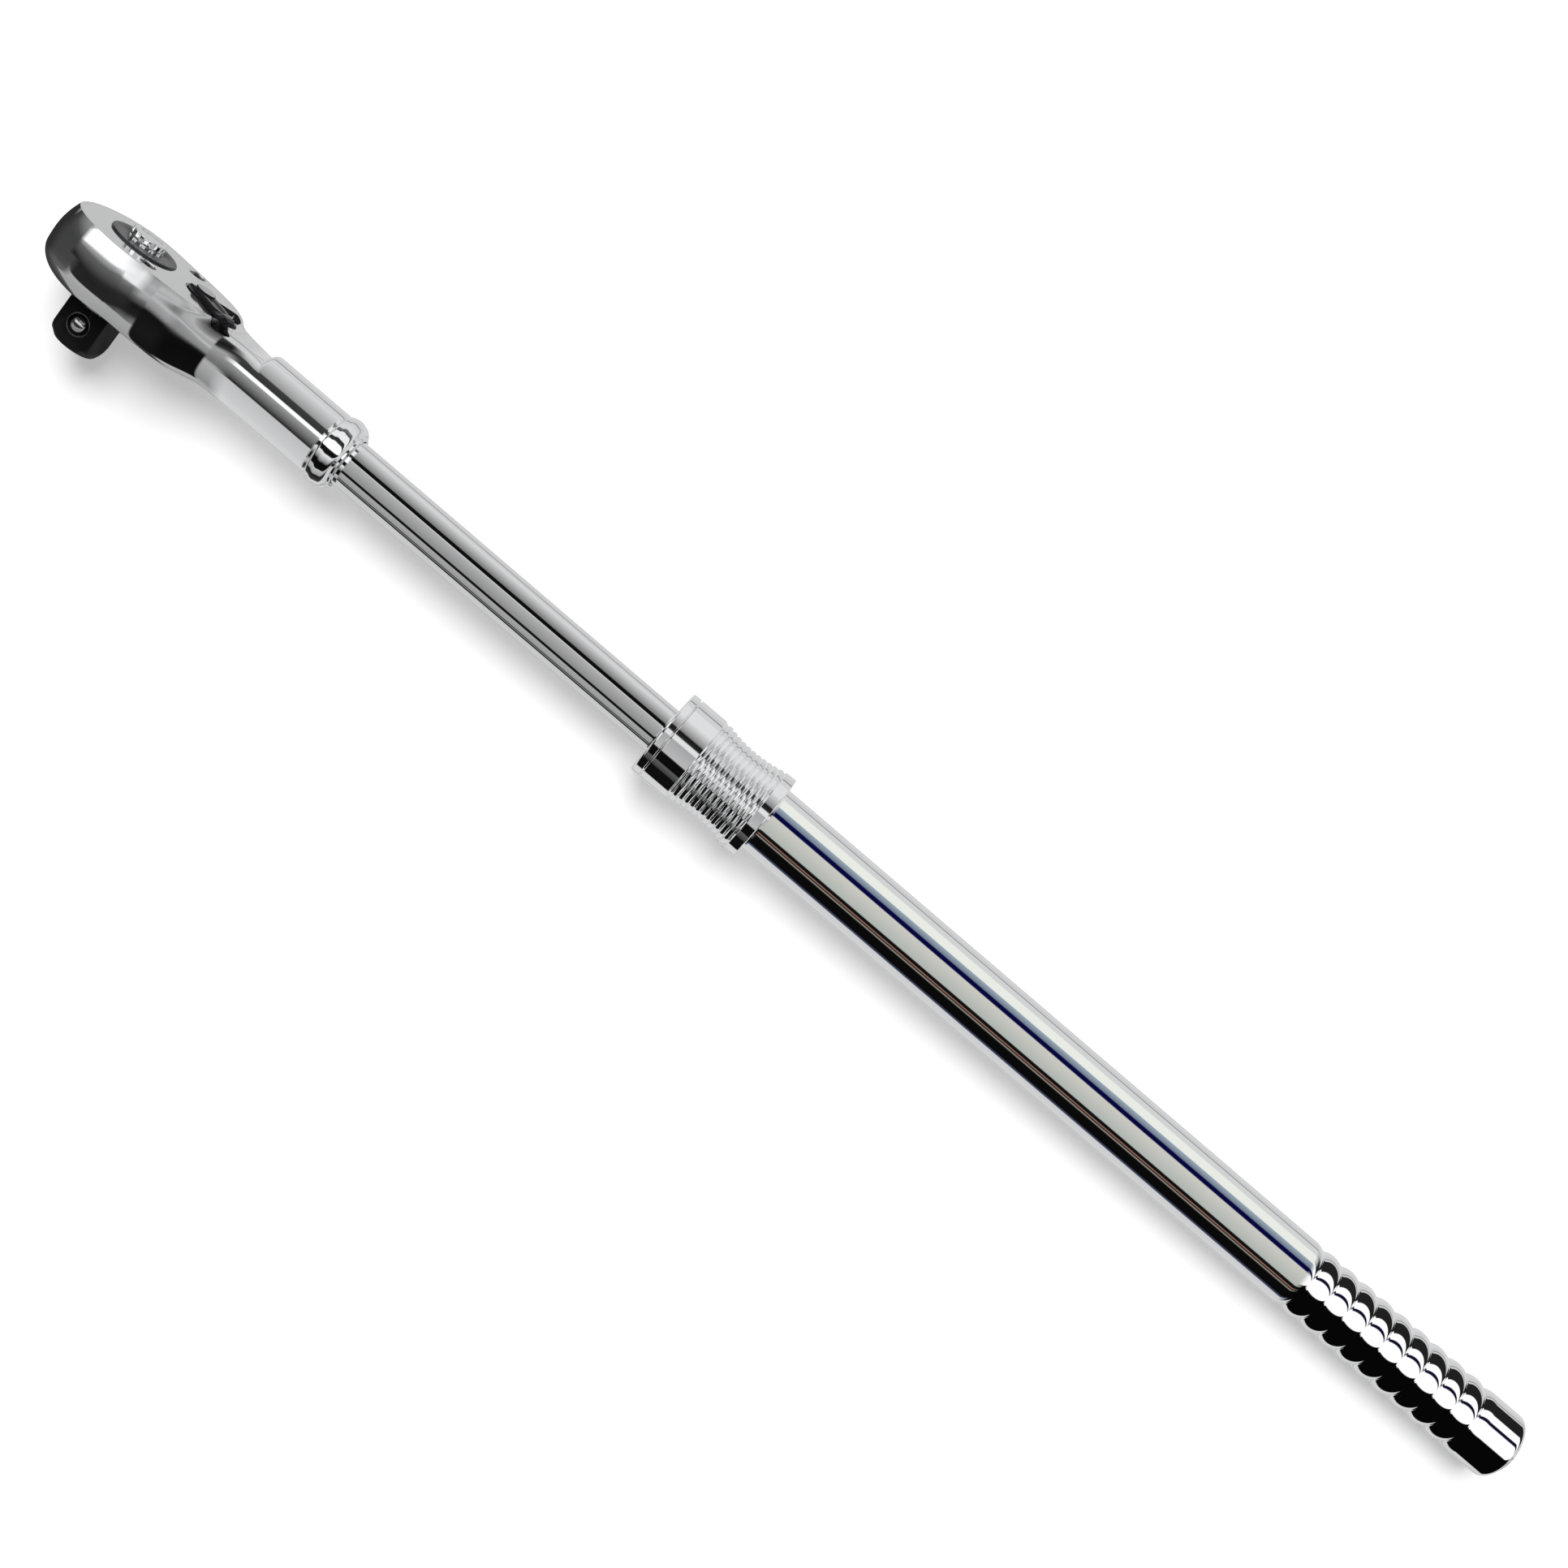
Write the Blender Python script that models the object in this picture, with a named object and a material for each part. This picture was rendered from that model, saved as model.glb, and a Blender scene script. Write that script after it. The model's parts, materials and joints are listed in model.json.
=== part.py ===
"""Telescopic reversible breaker bar with a 3/4 inch square drive.

The frame: the origin is the centre of the square drive's end face, +Z runs up the drive axis
towards the cover plate, and +X runs from the drive axis along the handle to the grip.
Front means towards -X and rear towards +X. Lengths are in millimetres and are scaled to metres
when a mesh is made. Every profile lists (position along the axis, radius).
"""

import math

import bmesh
import bpy
from mathutils import Matrix, Vector

MM = 0.001
GAP = 0.3                # running clearance between neighbouring pieces
AXIS_Z = 38.5            # height of the handle's axis above the drive's end face

# ---- head and cover plate ----
HEAD_TOP = 52.4          # cover face
HEAD_BOTTOM = 23.0       # underside
HEAD_REAR_X = 26.0       # centre of the head's rear round
TOP_FRONT_R = 29.0       # head's front and rear rounds at the cover face
TOP_REAR_R = 24.6
RIM = 0.9                # width of the head's rim around the cover plate's recess
PLATE_SEAT = 48.2        # height of the ledge the cover plate lies on
RECESS_FLOOR = 49.9      # floor of the lever's recess in the cover plate
SCREWS = {"near": (11.6, -18.6), "far": (18.0, 21.0)}   # cover screws, clear of the gear bore

# ---- drive spindle and quick release ----
SQUARE = 19.05           # across flats of the square drive (3/4 inch)
SQUARE_CHAMFER = 0.25
GEAR_TIP_R = 18.8
GEAR_ROOT_R = 17.5
GEAR_BORE_R = 19.3
GEAR_TEETH = 24
GEAR_Z = (29.3, 46.4)
DISC_TOP = 53.2          # black hub, slightly proud of the cover face
DISC_R = 15.15           # hub of the spindle that shows through the cover plate
JOURNAL_R = 13.7
BUTTON_R = 7.9
BUTTON_BOTTOM, BUTTON_TOP = 49.0, 57.4
BUTTON_BORE_FLOOR = 38.0
BALL_R = 3.75            # socket retaining ball
BALL_Z = 10.8
BALL_Y = -8.0
BALL_SLOPE = 0.5         # radial fall of the rod's cone per unit of height

# ---- reversing lever and pawl ----
LEVER_X = 31.5           # reversing lever's pivot
LEVER_REST = math.radians(-35.0)    # lever's angle from +X at rest
LEVER_LENGTH = 25.8
STEM_R = 4.0
BOSS_R = 5.05
PLUNGER_HOLE_BOTTOM = -2.4          # measured from the stem's axis
PAWL_PIN_X = 23.0
PAWL_PIN_R = 1.3
PAWL_REST = math.radians(-3.0)

# ---- ferrule and inner shaft ----
FERRULE_R = 15.45
FERRULE_END = 120.0
SHAFT_R = 11.0
SHAFT_START, SHAFT_END = 76.0, 568.0
CROSS_PIN_X = 95.0
CROSS_PIN_R = 2.5
KEYWAY_DEPTH = 1.5
KEYWAY_WIDTH = 6.2
NOTCH_PITCH = 38.0
NOTCH_COUNT = 11
NOTCHES_BEFORE_BALL = 4  # notches between the ferrule and the lock ball

# ---- handle tube and lock collar ----
TUBE_R = 15.875          # 1-1/4 inch tube
TUBE_BORE_R = 13.1
TUBE_START, TUBE_END = 330.0, 764.6
GRIP_START = 650.0
GROOVE_R = 14.3          # bottom of the grooves between the grip's beads
BEAD_PITCH = 10.15
BEAD_COUNT = 9
COLLAR_START, COLLAR_END = 297.4, 349.0
COLLAR_BORE_R = TUBE_R + GAP + 0.025
SPRING_SHOULDER_X = 311.0
LOCK_BALL_R = 2.75
LOCK_BALL_X = 304.0
LOCK_BALL_Y = 12.55
LOCK_SLOPE = 0.25        # lock ball's radial lift per unit of collar travel
RIB_START = 312.4
RIB_PITCH = 2.79
RIB_COUNT = 11
WAIST_HALF_LENGTH = 15.3
WAIST_R = 18.8
WAIST_RISE = 2.0         # rise of the rib crests from mid waist to its ends

# Which of (along, across, second across) gives x, y and z for each choice of axis.
AXIS_ORDER = {"X": (0, 1, 2), "Y": (2, 0, 1), "Z": (1, 2, 0)}


# ---------------------------------------------------------------- scene helpers
def clear_scene():
    for scene_object in list(bpy.data.objects):
        bpy.data.objects.remove(scene_object, do_unlink=True)


def material(name, color, roughness, metallic):
    result = bpy.data.materials.new(name)
    result.use_nodes = True
    shader = result.node_tree.nodes["Principled BSDF"]
    shader.inputs["Base Color"].default_value = (*color, 1.0)
    shader.inputs["Roughness"].default_value = roughness
    shader.inputs["Metallic"].default_value = metallic
    result.diffuse_color = (*color, 1.0)
    return result


def place_object(item, location, parent):
    """Links an object, with its origin at `location` in the part's frame, under its parent."""
    bpy.context.scene.collection.objects.link(item)
    base = Vector((0, 0, 0))
    if parent is not None:
        item.parent = parent
        base = Vector(parent["world_mm"])
    item.location = (Vector(location) - base) * MM


def joint_empty(name, location, parent=None):
    """An empty that keeps its place in the part's frame as the property world_mm."""
    empty = bpy.data.objects.new(name, None)
    empty.empty_display_size = 0.01
    empty["world_mm"] = location
    place_object(empty, location, parent)
    return empty


def add_part(bm, name, mat, group, origin=(0, 0, 0)):
    """Makes an object from a mesh drawn in millimetres in the part's frame."""
    bmesh.ops.remove_doubles(bm, verts=bm.verts, dist=1e-4)
    bmesh.ops.recalc_face_normals(bm, faces=bm.faces)
    bm.transform(Matrix.Scale(MM, 4) @ Matrix.Translation(-Vector(origin)))
    mesh = bpy.data.meshes.new(name)
    bm.to_mesh(mesh)
    bm.free()
    mesh.shade_smooth()
    mesh.set_sharp_from_angle(angle=math.radians(35.0))
    if mat is not None:
        mesh.materials.append(mat)
    part = bpy.data.objects.new(name, mesh)
    place_object(part, origin, group)
    return part


def add_helper(bm, name):
    helper = add_part(bm, name, None, None)
    helper.hide_render = True
    helper.display_type = "WIRE"
    return helper


def add_boolean(target, helper, operation):
    modifier = target.modifiers.new(helper.name, "BOOLEAN")
    modifier.object = helper
    modifier.operation = operation
    modifier.solver = "EXACT"


def tool(bm, name, target, operation="DIFFERENCE"):
    """A hidden shape that a Boolean modifier on `target` cuts away, keeps or joins."""
    helper = add_helper(bm, name)
    helper.hide_set(True)
    add_boolean(target, helper, operation)


def drill(target, name, x, y, radius, sides, z0, z1):
    """Cuts an upright round (or polygonal) hole."""
    tool(prism(circle(x, y, radius, sides), z0, z1), name, target)


# ---------------------------------------------------------------- shapes
def circle(cx, cy, radius, count):
    angles = [2 * math.pi * i / count for i in range(count)]
    return [(cx + radius * math.cos(a), cy + radius * math.sin(a)) for a in angles]


def arc(cx, radius, start, end, count):
    """Points about (cx, 0), both ends included. Angles are in radians."""
    angles = [start + (end - start) * i / (count - 1) for i in range(count)]
    return [(cx + radius * math.cos(a), radius * math.sin(a)) for a in angles]


def pear(front_r, rear_r, rear_x=HEAD_REAR_X):
    """Outline of two circles, about the drive axis and (rear_x, 0), joined by their tangents."""
    tangent = math.acos((front_r - rear_r) / rear_x)
    front = arc(0, front_r, tangent, 2 * math.pi - tangent, 25)
    return front + arc(rear_x, rear_r, -tangent, tangent, 13)


def rotated(x, y, angle, pivot_x):
    """(x, y) measured from (pivot_x, 0), turned by `angle` and moved to that pivot."""
    cos, sin = math.cos(angle), math.sin(angle)
    return (pivot_x + x * cos - y * sin, x * sin + y * cos)


def place_point(point, axis, centre):
    return tuple(base + point[k] for base, k in zip(centre, AXIS_ORDER[axis]))


def skin(rings, closed=False):
    """Skins point rings that all have the same count. A ring of one point is a pole."""
    bm = bmesh.new()
    rows = [[bm.verts.new(p) for p in ring] for ring in rings]
    pairs = list(zip(rows, rows[1:])) + ([(rows[-1], rows[0])] if closed else [])
    for a, b in pairs:
        count = max(len(a), len(b))
        for i in range(count):
            j = (i + 1) % count
            if len(a) == 1:
                bm.faces.new((a[0], b[j], b[i]))
            elif len(b) == 1:
                bm.faces.new((a[i], a[j], b[0]))
            else:
                bm.faces.new((a[i], a[j], b[j], b[i]))
    if not closed:
        for end in (rows[0], rows[-1]):
            if len(end) > 2:
                bm.faces.new(end)
    return bm


def turned(profile, segments, axis="X", centre=(0, 0, AXIS_Z), closed=False):
    """A turned solid. A closed profile's last point joins its first."""
    rings = []
    for along, radius in profile:
        if radius < 1e-6:
            points = [(along, 0.0, 0.0)]
        else:
            points = [(along, u, v) for u, v in circle(0, 0, radius, segments)]
        rings.append([place_point(p, axis, centre) for p in points])
    return skin(rings, closed)


def turned_z(profile, segments, x=0, y=0, closed=False):
    return turned(profile, segments, "Z", (x, y, 0), closed)


def rod_profile(start, end, radius):
    return [(start, 0.0), (start, radius), (end, radius), (end, 0.0)]


def prism(outline, z0, z1):
    """An upright solid with a flat top and bottom. outline lists (x, y)."""
    return skin([[(x, y, z) for x, y in outline] for z in (z0, z1)])


def box(x0, x1, y0, y1, z0, z1):
    return prism([(x0, y0), (x1, y0), (x1, y1), (x0, y1)], z0, z1)


def sphere(radius, centre, segments, rows):
    angles = [math.pi * i / rows for i in range(rows + 1)]
    profile = [(-radius * math.cos(a), radius * math.sin(a)) for a in angles]
    return turned(profile, segments, "Y", centre)


def coil(turns, mean_r, wire_r, start, end, axis, centre, per_turn, sides):
    """A helical spring wire with flat-cut ends, drawn as a swept round section."""
    pitch = (end - start - 2 * wire_r) / turns
    rings = []
    for i in range(int(turns * per_turn) + 1):
        turn = i / per_turn
        a = 2 * math.pi * turn
        radial = Vector((0, math.cos(a), math.sin(a)))
        rise = pitch / (2 * math.pi)
        tangent = Vector((rise, -mean_r * math.sin(a), mean_r * math.cos(a))).normalized()
        side = tangent.cross(radial).normalized()
        middle = Vector((start + wire_r + pitch * turn, 0, 0)) + radial * mean_r
        section = circle(0, 0, wire_r, sides)
        rings.append([place_point(middle + radial * u + side * v, axis, centre) for u, v in section])
    return skin(rings)


# ---------------------------------------------------------------- materials and frames
clear_scene()

chrome = material("chrome", color=(0.82, 0.83, 0.84), roughness=0.08, metallic=1.0)
black_steel = material("black_steel", color=(0.035, 0.035, 0.038), roughness=0.35, metallic=0.9)
spring_steel = material("spring_steel", color=(0.45, 0.46, 0.48), roughness=0.3, metallic=1.0)
ball_steel = material("ball_steel", color=(0.7, 0.7, 0.72), roughness=0.12, metallic=1.0)
bronze = material("bronze", color=(0.55, 0.38, 0.18), roughness=0.3, metallic=1.0)

head_frame = joint_empty("head_frame", (0, 0, 0))
drive_axis = joint_empty("drive_axis", (0, 0, 0), head_frame)
button_axis = joint_empty("button_axis", (0, 0, 0), drive_axis)
lever_axis = joint_empty("lever_axis", (LEVER_X, 0, HEAD_TOP), head_frame)
pawl_axis = joint_empty("pawl_axis", (PAWL_PIN_X, 0, AXIS_Z), head_frame)
handle_slide = joint_empty("handle_slide", (TUBE_START, 0, AXIS_Z), head_frame)
collar_slide = joint_empty("collar_slide", (COLLAR_START, 0, AXIS_Z), handle_slide)
lock_ball_slide = joint_empty("lock_ball_slide", (LOCK_BALL_X, 0, AXIS_Z), handle_slide)


# ---------------------------------------------------------------- head
# Level outlines of the pear-shaped casting, a barrel side wall with a rounded lower edge and a
# slightly narrower top: height, front radius, rear radius, x of the rear round's centre.
HEAD_LEVELS = [
    (HEAD_BOTTOM, 23.0, 18.0, 25.0),
    (23.7, 26.0, 20.8, 25.0),
    (25.4, 28.8, 23.0, 25.5),
    (28.2, 31.0, 24.5, HEAD_REAR_X),
    (32.2, 32.1, 25.3, HEAD_REAR_X),
    (37.5, 32.4, 25.8, HEAD_REAR_X),
    (42.5, 32.1, 25.9, HEAD_REAR_X),
    (47.5, 31.0, 25.5, HEAD_REAR_X),
    (HEAD_TOP, TOP_FRONT_R, TOP_REAR_R, HEAD_REAR_X),
]
NECK_STATIONS = (34.0, 40.0, 46.0, 50.0, 54.0, 58.0, 62.0, 69.2)
FERRULE_PROFILE = [
    (69.8, 13.9), (70.8, 15.1), (72.2, FERRULE_R), (107.6, FERRULE_R), (109.6, 15.75),
    (111.6, 16.4), (113.4, 16.65), (115.4, 16.45), (117.4, 15.6), (119.0, 14.2),
    (FERRULE_END, 12.4),
]


def ramp(value):
    return min(1.0, max(0.0, value))


def neck_ring(x):
    """Neck section: rounded below, wider where it leaves the head, and a nearly flat top."""
    flare = ramp((64.0 - x) / 26.0)
    half_width = FERRULE_R + 8.0 * flare * flare * (3 - 2 * flare)
    crown = 12.4 - 0.5 * ramp((x - 50.0) / 19.0)
    bow = 0.0025 + 0.0134 * ramp((x - 45.0) / 24.0) ** 1.3
    ring = []
    for cos, sin in circle(0, 0, 1.0, 32):
        y = half_width * cos
        ring.append((x, y, AXIS_Z + min(FERRULE_R * sin, crown - bow * y * y)))
    return ring


def build_head_body():
    levels = [[(x, y, z) for x, y in pear(r1, r2, x2)] for z, r1, r2, x2 in HEAD_LEVELS]
    body = add_part(skin(levels), "head_body", chrome, head_frame)
    rings = [neck_ring(x) for x in NECK_STATIONS]
    rings += [[(x, y, z) for y, z in circle(0, AXIS_Z, r, 32)] for x, r in FERRULE_PROFILE]
    tool(skin(rings), "neck_and_ferrule", body, "UNION")

    recess = pear(TOP_FRONT_R - RIM, TOP_REAR_R - RIM)
    tool(prism(recess, PLATE_SEAT, HEAD_TOP + 5), "plate_recess", body)
    drill(body, "gear_bore", 0, 0, GEAR_BORE_R, 36, GEAR_Z[0] - GAP, HEAD_TOP + 4)
    drill(body, "journal_bore", 0, 0, JOURNAL_R + GAP, 32, 18.0, 31.0)
    tool(box(12.0, 29.6, -14.2, 14.2, 29.6, HEAD_TOP + 3), "pawl_pocket", body)
    drill(body, "lever_bore", LEVER_X, 0, STEM_R + GAP, 20, 33.5, HEAD_TOP + 2)
    drill(body, "clip_recess", LEVER_X, 0, 6.2, 20, 44.6, HEAD_TOP + 2.5)
    drill(body, "pawl_pin_hole", PAWL_PIN_X, 0, PAWL_PIN_R + GAP, 14, 26.5, 32.0)
    for label, (x, y) in SCREWS.items():
        drill(body, "screw_hole_" + label, x, y, 1.85, 12, 39.0, HEAD_TOP - 1)
    socket_r = SHAFT_R + GAP
    socket = [(SHAFT_START - 0.4, socket_r), (FERRULE_END + 4, socket_r)]
    tool(turned(socket, 32), "shaft_socket", body)
    drill(body, "cross_pin_hole", CROSS_PIN_X, 0, CROSS_PIN_R + GAP, 16, 18.0, AXIS_Z)


# ---------------------------------------------------------------- cover plate
def lever_recess_outline():
    """Round about the pivot in front, a wider sector behind where the arm sweeps."""
    front = arc(LEVER_X, 8.4, math.radians(75), math.radians(285), 11)
    half_angle = math.radians(50.0)
    return front + arc(LEVER_X, 18.2, -half_angle, half_angle, 13)


def build_cover_plate():
    inset = RIM + GAP
    outline = pear(TOP_FRONT_R - inset, TOP_REAR_R - inset)
    plate = add_part(prism(outline, PLATE_SEAT + GAP, HEAD_TOP), "cover_plate", chrome, head_frame)
    drill(plate, "disc_opening", 0, 0, DISC_R + GAP, 48, 40.0, 60.0)
    drill(plate, "stem_opening", LEVER_X, 0, STEM_R + GAP, 24, 40.0, 60.0)
    tool(prism(lever_recess_outline(), RECESS_FLOOR, 60.0), "lever_recess", plate)
    countersink = [
        (47.0, 2.2), (HEAD_TOP - 2.4, 2.2), (HEAD_TOP - 0.2, 4.6), (HEAD_TOP + 2.0, 4.6),
    ]
    for label, (x, y) in SCREWS.items():
        tool(turned_z(countersink, 20, x, y), "countersink_" + label, plate)


def build_cover_screws():
    profile = [
        (39.6, 0.0), (39.6, 1.5), (HEAD_TOP - 2.6, 1.5), (HEAD_TOP - 0.4, 4.1),
        (HEAD_TOP - 0.15, 4.2), (HEAD_TOP - 0.15, 0.0),
    ]
    for label, (x, y) in SCREWS.items():
        screw = add_part(
            turned_z(profile, 20, x, y), "cover_screw_" + label, black_steel, head_frame,
            (x, y, 50.0),
        )
        drill(screw, "hex_socket_" + label, x, y, 1.75, 6, HEAD_TOP - 1.8, HEAD_TOP + 2)


def build_thrust_washer():
    profile = [(46.7, 15.8), (46.7, 18.9), (47.9, 18.9), (47.9, 15.8)]
    add_part(turned_z(profile, 32, closed=True), "thrust_washer", spring_steel, head_frame)


# ---------------------------------------------------------------- drive spindle
def gear_outline():
    # Fraction of a tooth's pitch, radius.
    tooth = ((0.0, GEAR_ROOT_R), (0.42, GEAR_TIP_R), (0.58, GEAR_TIP_R))
    points = []
    for i in range(GEAR_TEETH):
        for fraction, radius in tooth:
            a = 2 * math.pi * (i + fraction) / GEAR_TEETH
            points.append((radius * math.cos(a), radius * math.sin(a)))
    return points


def build_square_tang():
    """The square drive, chamfered along its corners and turned to a rounded nose."""
    flat = SQUARE / 2
    edge = flat - SQUARE_CHAMFER
    outline = [
        (edge, -flat), (flat, -edge), (flat, edge), (edge, flat),
        (-edge, flat), (-flat, edge), (-flat, -edge), (-edge, -flat),
    ]
    nose = [
        (-0.5, 0.0), (-0.5, 9.3), (0.0, 9.8), (1.2, 11.2), (2.8, 12.3), (5.6, 13.4),
        (27.0, 13.5), (27.0, 0.0),
    ]
    tang = add_helper(prism(outline, 0.0, 26.0), "square_tang")
    tool(turned_z(nose, 32), "turned_nose", tang, "INTERSECT")
    return tang


def build_drive_spindle():
    """The gear, its hub and the square drive in one piece, bored for the quick release."""
    spindle = add_part(prism(gear_outline(), *GEAR_Z), "drive_spindle", black_steel, drive_axis)
    hub = [
        (HEAD_BOTTOM + 0.3, 0.0), (HEAD_BOTTOM + 0.3, JOURNAL_R), (35.0, JOURNAL_R),
        (38.0, DISC_R), (DISC_TOP - 0.4, DISC_R), (DISC_TOP, DISC_R - 0.4), (DISC_TOP, 0.0),
    ]
    tool(turned_z(hub, 36), "spindle_hub", spindle, "UNION")
    add_boolean(spindle, build_square_tang(), "UNION")
    tool(turned_z(rod_profile(1.5, 60.0, 4.6), 24), "rod_bore", spindle)
    button_bore = rod_profile(BUTTON_BORE_FLOOR, 60.0, BUTTON_R + GAP)
    tool(turned_z(button_bore, 32), "button_bore", spindle)
    ball_hole = rod_profile(-14.0, 0.0, BALL_R + GAP)
    tool(turned(ball_hole, 24, "Y", (0, 0, BALL_Z)), "ball_hole", spindle)


# ---------------------------------------------------------------- quick release
def build_release_button():
    """Dished button with flutes around its rim."""
    profile = [
        (BUTTON_BOTTOM, 0.0), (BUTTON_BOTTOM, BUTTON_R - 0.3), (BUTTON_BOTTOM + 0.3, BUTTON_R),
        (BUTTON_TOP - 0.5, BUTTON_R), (BUTTON_TOP, BUTTON_R - 0.5), (BUTTON_TOP, BUTTON_R - 1.1),
        (BUTTON_TOP - 0.9, BUTTON_R - 3.2), (BUTTON_TOP - 1.4, 0.0),
    ]
    button = add_part(turned_z(profile, 36), "release_button", chrome, button_axis)
    for i in range(12):
        a = 2 * math.pi * (i + 0.5) / 12
        x, y = 9.0 * math.cos(a), 9.0 * math.sin(a)
        drill(button, "flute_%02d" % i, x, y, 1.5, 8, 53.6, BUTTON_TOP + 1)


def build_release_rod():
    """Rod under the button, with a cone that narrows upwards beside the socket ball."""
    base_r = 4.3
    cone_bottom, cone_top = 9.12, 14.82
    waist_r = base_r - BALL_SLOPE * (cone_top - cone_bottom)
    profile = [
        (5.9, 0.0), (5.9, 4.0), (6.2, base_r), (cone_bottom, base_r), (cone_top, waist_r),
        (18.8, waist_r), (20.0, 2.8), (48.7, 2.8), (48.7, 0.0),
    ]
    add_part(turned_z(profile, 24), "release_rod", spring_steel, button_axis)


def build_button_spring():
    end_gap = 0.35
    wire = coil(
        turns=4.0, mean_r=6.1, wire_r=0.6, start=BUTTON_BORE_FLOOR + end_gap,
        end=BUTTON_BOTTOM - end_gap, axis="Z", centre=(0, 0, 0), per_turn=12, sides=5,
    )
    add_part(wire, "button_spring", spring_steel, drive_axis)


def build_socket_ball():
    centre = (0, BALL_Y, BALL_Z)
    add_part(sphere(BALL_R, centre, 14, 8), "socket_ball", ball_steel, drive_axis, centre)


# ---------------------------------------------------------------- pawl
def build_pawl():
    """Double-ended pawl that rocks on its pin.

    An arc of teeth faces the gear with running room over the tooth tips, so that the gear turns
    both ways. The back is straight between sloping corners.
    """
    outline = []
    for i in range(17):
        a = math.radians(-32 + 64 * i / 16)
        radius = 19.9 + (0.55 if i % 2 else 0.0)
        outline.append((radius * math.cos(a), radius * math.sin(a)))
    outline += [(18.9, 12.0), (25.4, 6.0), (25.4, -6.0), (18.9, -12.0)]
    outline = [rotated(x - PAWL_PIN_X, y, PAWL_REST, PAWL_PIN_X) for x, y in outline]
    pawl = add_part(
        prism(outline, 30.2, 46.0), "pawl", black_steel, pawl_axis, (PAWL_PIN_X, 0, AXIS_Z),
    )
    drill(pawl, "pawl_eye", PAWL_PIN_X, 0, PAWL_PIN_R + 0.12, 16, 20.0, 60.0)


def build_pawl_pin():
    profile = [
        (26.8, 0.0), (26.8, 1.1), (27.0, PAWL_PIN_R), (47.9, PAWL_PIN_R), (48.1, 1.1), (48.1, 0.0),
    ]
    add_part(
        turned_z(profile, 14, PAWL_PIN_X), "pawl_pin", spring_steel, head_frame,
        (PAWL_PIN_X, 0, AXIS_Z),
    )


# ---------------------------------------------------------------- reversing lever
def lever_section(along, half, bottom, top):
    """Section of the arm: flat underside, upright sides, sloping shoulders and a flat ridge."""
    shoulder = bottom + (top - bottom) * 0.62
    corners = (
        (-half, bottom), (half, bottom), (half, shoulder),
        (half * 0.45, top), (-half * 0.45, top), (-half, shoulder),
    )
    return [(*rotated(along, across, LEVER_REST, LEVER_X), z) for across, z in corners]


def along_plunger_hole(bm):
    """Lays a mesh drawn along X on the stem's cross hole, measured from the stem's axis."""
    turn = Matrix.Rotation(LEVER_REST + math.pi, 4, "Z")
    bm.transform(Matrix.Translation((LEVER_X, 0, AXIS_Z)) @ turn)
    return bm


def build_reverse_lever():
    # Distance from the pivot, half width, bottom height, top height.
    arm = [
        (2.0, 5.4, 50.2, 53.6),
        (8.0, 4.8, 50.2, 54.0),
        (13.5, 4.2, 50.3, 54.6),
        (16.8, 4.1, 52.75, 55.0),
        (22.0, 4.3, 52.8, 55.7),
        (LEVER_LENGTH, 3.4, 53.0, 54.9),
    ]
    # Stem with the clip's groove, then the flange and the boss on top.
    pivot = [
        (34.0, 0.0), (34.0, STEM_R - 0.4), (34.4, STEM_R), (44.8, STEM_R), (44.8, 3.1),
        (45.9, 3.1), (45.9, STEM_R), (50.2, STEM_R), (50.2, 7.6), (53.0, 7.6), (53.4, 7.1),
        (53.6, BOSS_R + 0.3), (55.0, BOSS_R), (55.3, BOSS_R - 0.3), (55.3, 0.0),
    ]
    lever = add_part(
        skin([lever_section(*station) for station in arm]), "reverse_lever", black_steel,
        lever_axis, (LEVER_X, 0, HEAD_TOP),
    )
    tool(turned_z(pivot, 24, LEVER_X), "lever_pivot", lever, "UNION")
    hole = turned(rod_profile(PLUNGER_HOLE_BOTTOM, 9.0, 1.7), 16, centre=(0, 0, 0))
    tool(along_plunger_hole(hole), "plunger_hole", lever)


def build_pawl_plunger():
    """Spring-loaded plunger in the stem that pushes the pawl over centre."""
    profile = [(1.2, 0.0), (1.2, 1.35), (4.2, 1.35), (5.0, 0.95), (5.3, 0.0)]
    plunger = along_plunger_hole(turned(profile, 16, centre=(0, 0, 0)))
    add_part(plunger, "pawl_plunger", spring_steel, lever_axis, (LEVER_X, 0, AXIS_Z))


def build_pawl_spring():
    wire = coil(
        turns=2.5, mean_r=0.95, wire_r=0.25, start=PLUNGER_HOLE_BOTTOM + GAP, end=0.95,
        axis="X", centre=(0, 0, 0), per_turn=8, sides=4,
    )
    add_part(
        along_plunger_hole(wire), "pawl_spring", spring_steel, lever_axis, (LEVER_X, 0, AXIS_Z),
    )


def build_lever_clip():
    """Open ring in the stem's groove."""
    start, end = math.radians(25), math.radians(335)
    outline = arc(LEVER_X, 5.6, start, end, 19) + arc(LEVER_X, 3.4, end, start, 19)
    add_part(
        prism(outline, 45.05, 45.65), "lever_clip", spring_steel, lever_axis, (LEVER_X, 0, 45.3),
    )


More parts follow.
